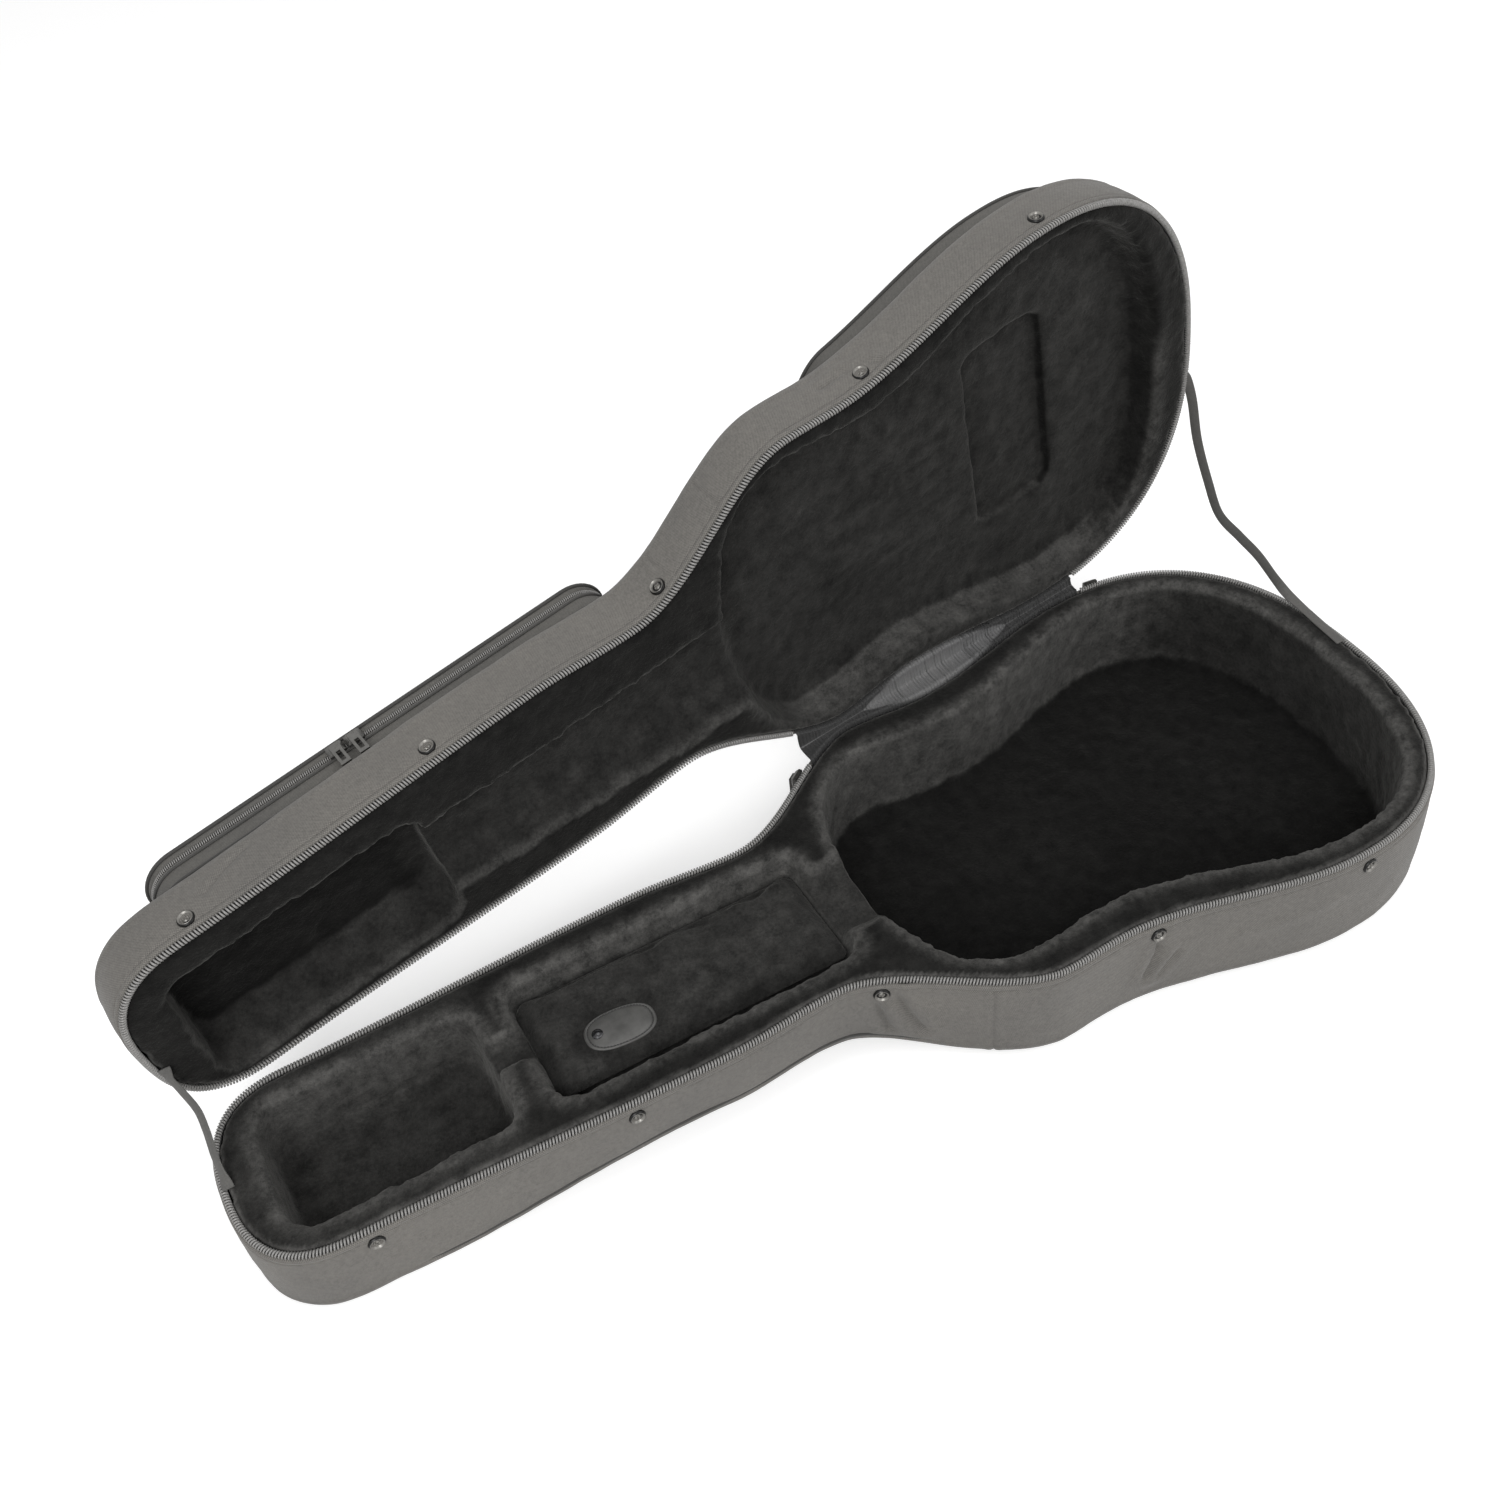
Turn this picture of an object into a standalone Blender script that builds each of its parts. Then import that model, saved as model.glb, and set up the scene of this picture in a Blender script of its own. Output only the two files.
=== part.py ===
"""Guitar gig bag: a zip-up case with foam shells, shown open, in metres with +Z up.

The shape is drawn in the split plane, where the two rims meet: x runs from the headstock end to the
tail, y from the zip side (negative) to the hinge side. The base hangs below that plane and the lid is
drawn closed above it. Two empties then put both halves where they stand: the base rests on its flat
bottom panel, and the lid is swung open about the hinge line.
"""
import math

import bmesh
import bpy
from mathutils import Matrix, Vector

# Outline of both halves: half widths at named places along the case, each place a share of its length
LENGTH = 1.080
HEAD_RUN = 0.07222 * LENGTH
HEAD_HALF = 0.0867
NECK_X = 0.35185 * LENGTH
NECK_HALF = 0.0947
THROAT_X = 0.44407 * LENGTH
THROAT_HALF = 0.088
UPPER_X = 0.59685 * LENGTH
UPPER_HALF = 0.1667
WAIST_X = 0.65120 * LENGTH
WAIST_HALF = 0.1638
LOWER_X = 0.83991 * LENGTH
LOWER_HALF = 0.2008
HEAD_POWER = 2.6
TAIL_POWER = 2.36

# Depths of the two halves, measured from the split plane
BASE_DEPTH_HEAD = 0.080
BASE_DEPTH_TAIL = 0.112
NECK_LIFT = 0.024
LIFT_START_X = 0.12222 * LENGTH
LIFT_FULL_X = 0.30556 * LENGTH
LIFT_EASE_X = 0.41204 * LENGTH
LIFT_END_X = 0.53241 * LENGTH
LID_DEPTH = 0.056
SPLIT_GAP = 0.0006
CLEAR = 0.0003

# Hinge
HINGE_SLOPE = 0.1389
HINGE_MARGIN = 0.002
OPEN_ANGLE = math.radians(88.9)

# Walls from the outside in
WALL = 0.0030
SKIN = 0.0024
EDGE_HEIGHT = 0.0125
EDGE_ROUND = 0.012
PIPING = 0.0032
LINING = 0.0035
FOAM_FLOOR = 0.016
HEAD_WELL_DEPTH = 0.060
BOX_WELL_DEPTH = 0.050
RIM_SKIN = 0.0044

# Zip round both rims, with its two ends on the hinge side
CHAIN = 0.0046
CHAIN_INSET = 0.0006
TAPE_HEIGHT = 0.0025
TAPE_INSET = 0.0012
TAPE_THICKNESS = 0.0018
ZIP_END_HEAD_X = 0.54167 * LENGTH
ZIP_END_TAIL_X = 0.85370 * LENGTH
CLOTH_END_GAP = 0.0015
SLIDER_LENGTH = 0.014
SLIDER_WIDTH = 0.011
SLIDER_HEIGHT = 0.0055
MAIN_PULL_LENGTH = 0.030
POCKET_PULL_LENGTH = 0.0235
PULL_WIDTH = 0.0085
PULL_THICKNESS = 0.0020
PULL_EYE = 0.0010

# Wells for the guitar: head, neck and body
HEAD_WELL_X0 = 0.03796 * LENGTH
HEAD_WELL_X1 = 0.20000 * LENGTH
HEAD_WELL_HALF = 0.055
NECK_WELL_X1 = 0.53241 * LENGTH
NECK_WELL_HALF = 0.057
NECK_WELL_DEPTH = 0.0195
BODY_WELL_X0 = 0.51574 * LENGTH
BODY_WELL_UPPER_X = 0.59537 * LENGTH
BODY_WELL_UPPER_HALF = 0.127
BODY_WELL_WAIST_X = 0.66204 * LENGTH
BODY_WELL_WAIST_HALF = 0.121
BODY_WELL_LOWER_X = 0.85185 * LENGTH
BODY_WELL_LOWER_HALF = 0.170
BODY_WELL_X1 = 0.96759 * LENGTH
BODY_WELL_POWER = 2.5
WELL_CORNER = 0.016
NECK_WELL_CORNER = 0.0135
WELL_FLOOR_ROUND = 0.008

LID_BODY_UPPER_HALF = 0.144
LID_BODY_WAIST_HALF = 0.135
LID_BODY_LOWER_HALF = 0.180
LID_BODY_X1 = 0.95741 * LENGTH
LID_BODY_DEPTH = 0.034
LID_NECK_HALF = 0.036
LID_NECK_DEPTH = 0.026
LID_HEAD_X1 = 0.24259 * LENGTH
LID_HEAD_DEPTH = 0.040
BRIDGE_X0 = 0.78241 * LENGTH
BRIDGE_X1 = 0.86296 * LENGTH
BRIDGE_HALF = 0.098
BRIDGE_DEPTH = 0.041

# Neck rest, heel cradle and the accessory compartment between them
NECK_REST_LENGTH = 0.032
NECK_REST_TOP = 0.003
SADDLE_HALF = 0.030
SADDLE_DEPTH = 0.013
HEEL_CRADLE_X = 0.48056 * LENGTH
HEEL_CRADLE_LENGTH = 0.034
HEEL_NOTCH_HALF = 0.034
HEEL_NOTCH_DEPTH = 0.011
BOX_WELL_MARGIN = 0.013
BOX_LID_THICKNESS = 0.008
BOX_LID_SIDE_GAP = 0.0015
BOX_LID_END_GAP = 0.005
TAB_X = 0.29630 * LENGTH
TAB_Y = -0.016
TAB_TURN = math.radians(-12)
TAB_LENGTH = 0.062
TAB_WIDTH = 0.033
TAB_THICKNESS = 0.0024
SNAP_RADIUS = 0.0050
SNAP_HEIGHT = 0.0016
SNAP_FROM_END = 0.011

# Finishing washers with their screws, on the zip side of each half
WASHER_X = [share * LENGTH for share in (0.08148, 0.27407, 0.47500, 0.67778, 0.85000)]
WASHER_RADIUS = 0.0070
WASHER_HEIGHT = 0.0018
WASHER_DROP = 0.0158

# Pockets on the lid
NECK_POCKET_X0 = 0.06667 * LENGTH
NECK_POCKET_X1 = 0.45556 * LENGTH
NECK_POCKET_HALF = 0.078
NECK_POCKET_CORNER = 0.030
NECK_POCKET_HEIGHT = 0.036
NECK_POCKET_ZIP_FROM_TOP = 0.013
NECK_POCKET_WALL = 0.0025
NECK_POCKET_CHAIN = 0.0040
BODY_POCKET_X0 = 0.63333 * LENGTH
BODY_POCKET_RUN = 0.060
BODY_POCKET_POWER = 2.2
BODY_POCKET_INSET = 0.020
BODY_POCKET_HEIGHT = 0.034
POCKET_SLIDER_X = 0.24259 * LENGTH
POCKET_SLIDER_STEP = 0.0165

# Lid stays and carry handle
STAY_WIDTH = 0.012
STAY_THICKNESS = 0.0016
STAY_TAIL_Y = 0.045
STAY_HEAD_Y = 0.022
STAY_SAG = 0.010
STAY_SINK = 0.010
STAY_STEPS = 10
HANDLE_X = 0.68704 * LENGTH
HANDLE_SPAN = 0.150
HANDLE_DROP = 0.044
HANDLE_STANDOFF = 0.030
HANDLE_GRIP_RADIUS = 0.0085
HANDLE_LOOP_RADIUS = 0.0042
HANDLE_BELOW_RIM = 0.036
ANCHOR_LENGTH = 0.030
ANCHOR_HEIGHT = 0.026
ANCHOR_THICKNESS = 0.004

# Counts of points round the loops
RING_POINTS = 68
WELL_POINTS = 42
CORNER_POINTS = 4
TURN_WEIGHT = 0.060

# Colours of the materials, linear
NYLON = (0.105, 0.100, 0.093)
PLUSH = (0.012, 0.012, 0.013)
FOAM = (0.75, 0.75, 0.74)
COIL = (0.030, 0.030, 0.032)
METAL = (0.080, 0.080, 0.080)
LEATHER = (0.022, 0.022, 0.024)
WEBBING = (0.030, 0.030, 0.032)
RUBBER = (0.020, 0.020, 0.021)

for old in list(bpy.data.objects):
    bpy.data.objects.remove(old, do_unlink=True)


def ease(t):
    """Smooth step from 0 to 1."""
    t = min(max(t, 0.0), 1.0)
    return t * t * (3 - 2 * t)


def super_arc(t, power):
    """Height of a rounded end at the share t of its run, from 1 at t = 0 to 0 at t = 1."""
    return max(0.0, 1 - min(max(t, 0.0), 1.0) ** power) ** (1 / power)


def between(x, x0, y0, x1, y1):
    return y0 + (y1 - y0) * ease((x - x0) / (x1 - x0))


def case_half_width(x):
    """Half width of the case at x, from the headstock end at 0 to the tail at LENGTH."""
    if x < HEAD_RUN:
        return HEAD_HALF * super_arc((HEAD_RUN - x) / HEAD_RUN, HEAD_POWER)
    if x < NECK_X:
        return between(x, HEAD_RUN, HEAD_HALF, NECK_X, NECK_HALF)
    if x < THROAT_X:
        return between(x, NECK_X, NECK_HALF, THROAT_X, THROAT_HALF)
    if x < UPPER_X:
        return between(x, THROAT_X, THROAT_HALF, UPPER_X, UPPER_HALF)
    if x < WAIST_X:
        return between(x, UPPER_X, UPPER_HALF, WAIST_X, WAIST_HALF)
    if x < LOWER_X:
        return between(x, WAIST_X, WAIST_HALF, LOWER_X, LOWER_HALF)
    return LOWER_HALF * super_arc((x - LOWER_X) / (LENGTH - LOWER_X), TAIL_POWER)


def body_well_half_width(upper, waist, lower, x1):
    """Returns the half-width function of a well shaped like a guitar body that ends at x1."""
    def half_width(x):
        if x < BODY_WELL_UPPER_X:
            run = BODY_WELL_UPPER_X - BODY_WELL_X0
            return upper * super_arc((BODY_WELL_UPPER_X - x) / run, BODY_WELL_POWER)
        if x < BODY_WELL_WAIST_X:
            return between(x, BODY_WELL_UPPER_X, upper, BODY_WELL_WAIST_X, waist)
        if x < BODY_WELL_LOWER_X:
            return between(x, BODY_WELL_WAIST_X, waist, BODY_WELL_LOWER_X, lower)
        return lower * super_arc((x - BODY_WELL_LOWER_X) / (x1 - BODY_WELL_LOWER_X), BODY_WELL_POWER)
    return half_width


def base_line(x):
    """Depth of the base's flat bottom, which falls towards the tail."""
    return BASE_DEPTH_HEAD + (BASE_DEPTH_TAIL - BASE_DEPTH_HEAD) * x / LENGTH


def base_depth(x):
    """Depth of the base below the split plane: the bottom is raised along the neck."""
    rise = ease((x - LIFT_START_X) / (LIFT_FULL_X - LIFT_START_X))
    fall = ease((LIFT_END_X - x) / (LIFT_END_X - LIFT_EASE_X))
    return base_line(x) - NECK_LIFT * rise * fall


def lid_depth(x):
    return LID_DEPTH


def fine_loop(half_width, x0, x1, steps=700):
    """A dense loop round a mirrored outline, from the x1 end over +y to x0 and back over -y."""
    xs = [x0 + (x1 - x0) * (1 - math.cos(math.pi * i / steps)) / 2 for i in range(steps + 1)]
    upper = [Vector((x, half_width(x))) for x in reversed(xs)]
    lower = [Vector((x, -half_width(x))) for x in xs[1:-1]]
    return upper + lower


def weights_along(points, closed):
    """Running length of a path, with bends counted as extra length so that they get more points."""
    total = [0.0]
    count = len(points)
    last = count if closed else count - 1
    for i in range(last):
        a, b = points[i], points[(i + 1) % count]
        before = points[i - 1] if closed or i else a - (b - a)
        turn = abs((a - before).angle_signed(b - a, 0.0)) if (a - before).length > 1e-9 else 0.0
        total.append(total[-1] + (b - a).length + TURN_WEIGHT * turn)
    return total


def resample(points, count, closed=True):
    """Points spread evenly by the weighted length."""
    total = weights_along(points, closed)
    goals = [total[-1] * k / (count if closed else count - 1) for k in range(count)]
    out = []
    j = 0
    for goal in goals:
        while j < len(total) - 2 and total[j + 1] < goal:
            j += 1
        span = total[j + 1] - total[j]
        share = (goal - total[j]) / span if span else 0.0
        a, b = points[j % len(points)], points[(j + 1) % len(points)]
        out.append(a.lerp(b, share))
    return out


def normals_of(points, closed=True):
    """Inward normals of a path that runs anticlockwise."""
    count = len(points)
    out = []
    for i, here in enumerate(points):
        before = points[i - 1] if closed or i else here
        after = points[(i + 1) % count] if closed or i < count - 1 else here
        along = (after - before).normalized()
        out.append(Vector((-along.y, along.x)))
    return out


def inset(points, amount, closed=True):
    """The path moved inwards by amount."""
    return [p + n * amount for p, n in zip(points, normals_of(points, closed))]


def rounded_box(x0, x1, half, corner):
    """An anticlockwise rectangle with round corners."""
    out = []
    middles = ((x1 - corner, half - corner), (x0 + corner, half - corner),
               (x0 + corner, corner - half), (x1 - corner, corner - half))
    for quarter, (cx, cy) in enumerate(middles):
        for k in range(CORNER_POINTS + 1):
            angle = math.pi / 2 * (quarter + k / CORNER_POINTS)
            out.append(Vector((cx + corner * math.cos(angle), cy + corner * math.sin(angle))))
    return out


def material(name, colour, roughness, metallic=0.0):
    """A Principled material, made once for each name."""
    found = bpy.data.materials.get(name)
    if found:
        return found
    made = bpy.data.materials.new(name)
    made.use_nodes = True
    shader = made.node_tree.nodes["Principled BSDF"]
    shader.inputs["Base Color"].default_value = (*colour, 1)
    shader.inputs["Roughness"].default_value = roughness
    shader.inputs["Metallic"].default_value = metallic
    made.diffuse_color = (*colour, 1)
    return made


def nylon():
    return material("grey_nylon", NYLON, 0.8)


def plush():
    return material("black_plush", PLUSH, 0.95)


def foam():
    return material("white_foam", FOAM, 0.9)


def coil():
    return material("zip_coil", COIL, 0.45)


def metal():
    return material("black_metal", METAL, 0.35, 0.9)


def leather():
    return material("leather", LEATHER, 0.5)


def webbing():
    return material("webbing", WEBBING, 0.8)


def rubber():
    return material("rubber", RUBBER, 0.7)


def object_from(name, mesh_maker, finish, frame=None, about=(0, 0, 0), cutter=False):
    """Makes an object from a bmesh, with its origin at the point about in the frame that carries it."""
    data = bmesh.new()
    mesh_maker(data)
    bmesh.ops.recalc_face_normals(data, faces=data.faces)
    bmesh.ops.translate(data, verts=data.verts, vec=-Vector(about))
    mesh = bpy.data.meshes.new(name)
    data.to_mesh(mesh)
    data.free()
    made = bpy.data.objects.new(name, mesh)
    bpy.context.collection.objects.link(made)
    if cutter:
        made.hide_render = True
        made.display_type = "WIRE"
    else:
        mesh.materials.append(finish())
        mesh.shade_smooth()
        mesh.set_sharp_from_angle(angle=math.radians(35))
    made.parent = frame
    made.location = Vector(about) - frame_origin(frame)
    return made


def raised_cap(loop):
    """Faces over a mirrored loop of vertices: flat under the head and body, in strips along the raised neck."""
    count = len(loop)
    side = range(1, count // 2)
    tail = max(k for k in side if loop[k].co.x > LIFT_END_X)
    head = min(k for k in side if loop[k].co.x < LIFT_START_X)
    strips = [(loop[k], loop[k + 1], loop[count - k - 1], loop[count - k]) for k in range(tail, head)]
    return [loop[count - tail:] + loop[:tail + 1], loop[head:count - head + 1]] + strips


def loft(rings, closed_section=False, last_cap=lambda loop: [loop]):
    """A mesh maker that skins rings or sections of equal count: capped at both ends, or closed on itself."""
    def make(data):
        loops = [[data.verts.new(point) for point in ring] for ring in rings]
        count = len(loops[0])
        spans = len(loops) if closed_section else len(loops) - 1
        for r in range(spans):
            low, high = loops[r], loops[(r + 1) % len(loops)]
            for i in range(count):
                j = (i + 1) % count
                data.faces.new((low[i], low[j], high[j], high[i]))
        if not closed_section:
            data.faces.new(list(reversed(loops[0])))
            for face in last_cap(loops[-1]):
                data.faces.new(face)
    return make


def ring_at(points, amount, height):
    """A level ring, inset by amount, at the height given as a number or a function of x."""
    moved = inset(points, amount)
    rise = height if callable(height) else (lambda x: height)
    return [(p.x, p.y, rise(p.x)) for p in moved]


def boolean(target, other, operation):
    cut = target.modifiers.new(operation.lower(), "BOOLEAN")
    cut.operation = operation
    cut.object = other
    cut.solver = "EXACT"


def empty(name, matrix, parent=None):
    made = bpy.data.objects.new(name, None)
    made.empty_display_size = 0.05
    bpy.context.collection.objects.link(made)
    made.parent = parent
    made.matrix_local = matrix
    return made


def mirrored(points):
    """The same loop with its -y side as the exact mirror of its +y side."""
    half = len(points) // 2
    upper = [points[0] * Vector((1, 0))] + points[1:half] + [points[half] * Vector((1, 0))]
    return upper + [Vector((p.x, -p.y)) for p in reversed(upper[1:half])]


OUTLINE = fine_loop(case_half_width, 0.0, LENGTH)
RING = mirrored(resample(OUTLINE, RING_POINTS))


def hinge_start():
    """y of the hinge line at x = 0: the line just clears the outline on the hinge side."""
    return max(p.y - HINGE_SLOPE * p.x for p in OUTLINE) + HINGE_MARGIN


HINGE_Y0 = hinge_start()
HINGE_POINT = Vector((THROAT_X, HINGE_Y0 + HINGE_SLOPE * THROAT_X, 0.0))
HINGE_AXIS = Vector((1.0, HINGE_SLOPE, 0.0)).normalized()
TILT = math.atan((BASE_DEPTH_TAIL - BASE_DEPTH_HEAD) / LENGTH)
REST_X = (NECK_X + LOWER_X) / 2


def frames():
    """The empties that carry the base and the opened lid."""
    tilt = Matrix.Rotation(-TILT, 4, "Y")
    foot = Vector((REST_X, 0, -base_depth(REST_X)))
    base = empty("base_frame", Matrix.Translation(-(tilt @ foot)) @ tilt)
    swing = Matrix.Translation(HINGE_POINT) @ Matrix.Rotation(-OPEN_ANGLE, 4, HINGE_AXIS)
    return base, empty("lid_frame", swing, base)


BASE, LID = frames()


def frame_origin(frame):
    """Where a frame's own origin lies in the drawing of the closed case."""
    return HINGE_POINT if frame is LID else Vector((0, 0, 0))


class Half:
    """One half of the case: which way it grows from the split plane, and how deep it is."""
    def __init__(self, name, sign, depth, frame):
        self.name = name
        self.sign = sign
        self.depth = depth
        self.frame = frame

    def level(self, depth_below_rim):
        return lambda x: self.sign * depth_below_rim

    def above_face(self, height):
        """A level measured from the outer face back towards the rim."""
        return lambda x: self.sign * (self.depth(x) - height)

    def add(self, part, maker, finish):
        return object_from(f"{self.name}_{part}", maker, finish, self.frame, frame_origin(self.frame))


BASE_HALF = Half("base", -1, base_depth, BASE)
LID_HALF = Half("lid", 1, lid_depth, LID)
CHAIN_BOTTOM = SPLIT_GAP + CHAIN
TAPE_TOP = CHAIN_BOTTOM + CLEAR
TAPE_BOTTOM = TAPE_TOP + TAPE_HEIGHT
BAND_TOP = TAPE_BOTTOM + CLEAR
PIPING_BASE = EDGE_HEIGHT + CLEAR
BAND_FOOT = PIPING_BASE + PIPING + CLEAR


def side_band(half):
    """Padded nylon band round the side wall, between the zip tape and the piping."""
    rings = [ring_at(RING, 0, half.level(BAND_TOP)), ring_at(RING, 0, half.above_face(BAND_FOOT)),
             ring_at(RING, WALL, half.above_face(BAND_FOOT)), ring_at(RING, WALL, half.level(BAND_TOP))]
    return half.add("side_band", loft(rings, closed_section=True), nylon)


def piping(half):
    """Corded seam between the side band and the outer panel."""
    middle = PIPING_BASE + PIPING / 2
    reach = PIPING / 2
    places = ((-reach * 0.4, middle), (reach * 0.6, PIPING_BASE), (WALL - CLEAR, middle),
              (reach * 0.6, PIPING_BASE + PIPING))
    rings = [ring_at(RING, amount, half.above_face(height)) for amount, height in places]
    return half.add("piping", loft(rings, closed_section=True), webbing)


def edge_profile(offset):
    """Section of the round outer edge as (inset, height above the face), moved inwards by offset."""
    out = [(offset, EDGE_HEIGHT)]
    for k in (1, 2, 3):
        angle = math.pi / 2 * k / 3
        radius = EDGE_ROUND - offset
        out.append((EDGE_ROUND - radius * math.cos(angle), EDGE_ROUND - radius * math.sin(angle)))
    return out


def outer_panel(half):
    """Dished nylon panel that closes the outer face, with its edge turned up to the piping."""
    outside = [ring_at(RING, i, half.above_face(h)) for i, h in edge_profile(0)]
    inside = [ring_at(RING, i, half.above_face(h)) for i, h in reversed(edge_profile(SKIN))]

    def make(data):
        loops = [[data.verts.new(point) for point in ring] for ring in outside + inside]
        count = len(loops[0])
        middle = len(outside)
        for r in range(len(loops)):
            if r == middle - 1:
                continue
            low, high = loops[r], loops[(r + 1) % len(loops)]
            for i in range(count):
                j = (i + 1) % count
                data.faces.new((low[i], low[j], high[j], high[i]))
        cap = raised_cap if half is BASE_HALF else lambda loop: [loop]
        for loop in (loops[middle - 1], loops[middle]):
            for face in cap(loop):
                data.faces.new(face)
    return half.add("bottom_panel" if half is BASE_HALF else "top_panel", make, nylon)


def crossing(x):
    """The edge of the ring on the hinge side that passes x, and the share of it that lies before x."""
    for i, here in enumerate(RING):
        after = RING[(i + 1) % len(RING)]
        if here.y >= 0 and after.y >= 0 and here.x >= x > after.x:
            return i, (here.x - x) / (here.x - after.x)
    raise ValueError(f"no edge of the outline passes x = {x}")


def ring_run(amount, x_start, x_end):
    """Part of the inset ring, anticlockwise from one place on the hinge side to another."""
    moved = inset(RING, amount)
    count = len(moved)
    (first, share_first), (last, share_last) = crossing(x_start), crossing(x_end)
    steps = (last - first) % count
    middle = [moved[(first + 1 + k) % count] for k in range(steps)]
    start = moved[first].lerp(moved[(first + 1) % count], share_first)
    end = moved[last].lerp(moved[(last + 1) % count], share_last)
    return [start] + middle + [end]


def strip(half, part, finish, inset_near, inset_far, top, bottom):
    """A strip of square section along the path of the zip."""
    near = ring_run(inset_near, ZIP_END_HEAD_X, ZIP_END_TAIL_X)
    far = ring_run(inset_far, ZIP_END_HEAD_X, ZIP_END_TAIL_X)
    high, low = half.sign * top, half.sign * bottom
    sections = []
    for a, b in zip(near, far):
        sections.append([(a.x, a.y, high), (b.x, b.y, high), (b.x, b.y, low), (a.x, a.y, low)])
    return half.add(part, loft(sections), finish)


def zips(half):
    """The zip's tape, and the half of its coil that this rim carries."""
    strip(half, "zip_tape", webbing, TAPE_INSET, TAPE_INSET + TAPE_THICKNESS, TAPE_TOP, TAPE_BOTTOM)
    strip(half, "zip_chain", coil, CHAIN_INSET, CHAIN_INSET + CHAIN, SPLIT_GAP, CHAIN_BOTTOM)


def well(half, name, points, top, bottom, grow):
    """A cutter in the shape of a well with a rounded floor, grown by grow all round."""
    sign = 1 if bottom(0.5) > top else -1
    floor = [(-grow, lambda x: top),
             (-grow, lambda x: bottom(x) - sign * WELL_FLOOR_ROUND),
             (WELL_FLOOR_ROUND * 0.3 - grow, lambda x: bottom(x) + sign * (grow - WELL_FLOOR_ROUND * 0.3)),
             (WELL_FLOOR_ROUND, lambda x: bottom(x) + sign * grow)]
    rings = [ring_at(points, amount, level) for amount, level in floor]
    about = frame_origin(half.frame)
    return object_from(f"cut_{half.name}_{name}", loft(rings), None, half.frame, about, cutter=True)


def well_outlines(half):
    """The wells of one half: name, outline and floor level."""
    if half.frame is BASE:
        body = body_well_half_width(BODY_WELL_UPPER_HALF, BODY_WELL_WAIST_HALF, BODY_WELL_LOWER_HALF,
                                    BODY_WELL_X1)
        body_loop = resample(fine_loop(body, BODY_WELL_X0, BODY_WELL_X1, 300), WELL_POINTS)
        floor = lambda x: FOAM_FLOOR - base_line(x)
        box_x0 = HEAD_WELL_X1 + NECK_REST_LENGTH + 2 * BOX_WELL_MARGIN
        box_x1 = HEEL_CRADLE_X - BOX_LID_END_GAP - BOX_WELL_MARGIN
        neck_x0 = HEAD_WELL_X1 - NECK_WELL_CORNER
        box_half = NECK_WELL_HALF - BOX_WELL_MARGIN
        return (("head_well", rounded_box(HEAD_WELL_X0, HEAD_WELL_X1, HEAD_WELL_HALF, WELL_CORNER),
                 half.level(HEAD_WELL_DEPTH)),
                ("neck_well", rounded_box(neck_x0, NECK_WELL_X1, NECK_WELL_HALF, NECK_WELL_CORNER),
                 half.level(NECK_WELL_DEPTH)),
                ("box_well", rounded_box(box_x0, box_x1, box_half, WELL_CORNER), half.level(BOX_WELL_DEPTH)),
                ("body_well", body_loop, floor))
    body = body_well_half_width(LID_BODY_UPPER_HALF, LID_BODY_WAIST_HALF, LID_BODY_LOWER_HALF, LID_BODY_X1)
    body_loop = resample(fine_loop(body, BODY_WELL_X0, LID_BODY_X1, 300), WELL_POINTS)
    neck_x0 = LID_HEAD_X1 - NECK_WELL_CORNER
    return (("head_well", rounded_box(HEAD_WELL_X0, LID_HEAD_X1, HEAD_WELL_HALF, WELL_CORNER),
             half.level(LID_HEAD_DEPTH)),
            ("neck_well", rounded_box(neck_x0, NECK_WELL_X1, LID_NECK_HALF, NECK_WELL_CORNER),
             half.level(LID_NECK_DEPTH)),
            ("bridge_well", rounded_box(BRIDGE_X0, BRIDGE_X1, BRIDGE_HALF, WELL_CORNER),
             half.level(BRIDGE_DEPTH)),
            ("body_well", body_loop, half.level(LID_BODY_DEPTH)))


def shell_and_lining(half):
    """The moulded foam shell and the plush lining that covers its wells and its rim."""
    sign = half.sign
    start = WALL + CLEAR
    profile = [(start, half.level(TAPE_TOP))]
    profile += [(i, half.above_face(h)) for i, h in edge_profile(SKIN + CLEAR)]
    profile[1] = (start, profile[1][1])
    outer = [ring_at(RING, i, z) for i, z in profile]
    cap = raised_cap if half is BASE_HALF else lambda loop: [loop]
    shell = half.add("foam_shell", loft(outer, last_cap=cap), foam)
    rim_inset = CHAIN_INSET + CHAIN + CLEAR
    rim_top, rim_bottom = half.level(SPLIT_GAP), half.level(SPLIT_GAP + RIM_SKIN)
    rim = loft([ring_at(RING, rim_inset, rim_top), ring_at(RING, rim_inset, rim_bottom)])
    lining = half.add("plush_lining", rim, plush)
    above_rim = -sign * 0.02
    skin_top = sign * (SPLIT_GAP + RIM_SKIN / 2)
    for name, points, floor in well_outlines(half):
        seat = well(half, f"{name}_seat", points, above_rim, floor, LINING + CLEAR)
        boolean(shell, seat, "DIFFERENCE")
        outer = well(half, f"{name}_skin", points, skin_top, floor, LINING)
        boolean(lining, outer, "UNION")
    for name, points, floor in well_outlines(half):
        hollow = well(half, name, points, above_rim, floor, 0.0)
        boolean(lining, hollow, "DIFFERENCE")


def hinge_y(x):
    return HINGE_Y0 + HINGE_SLOPE * x


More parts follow.
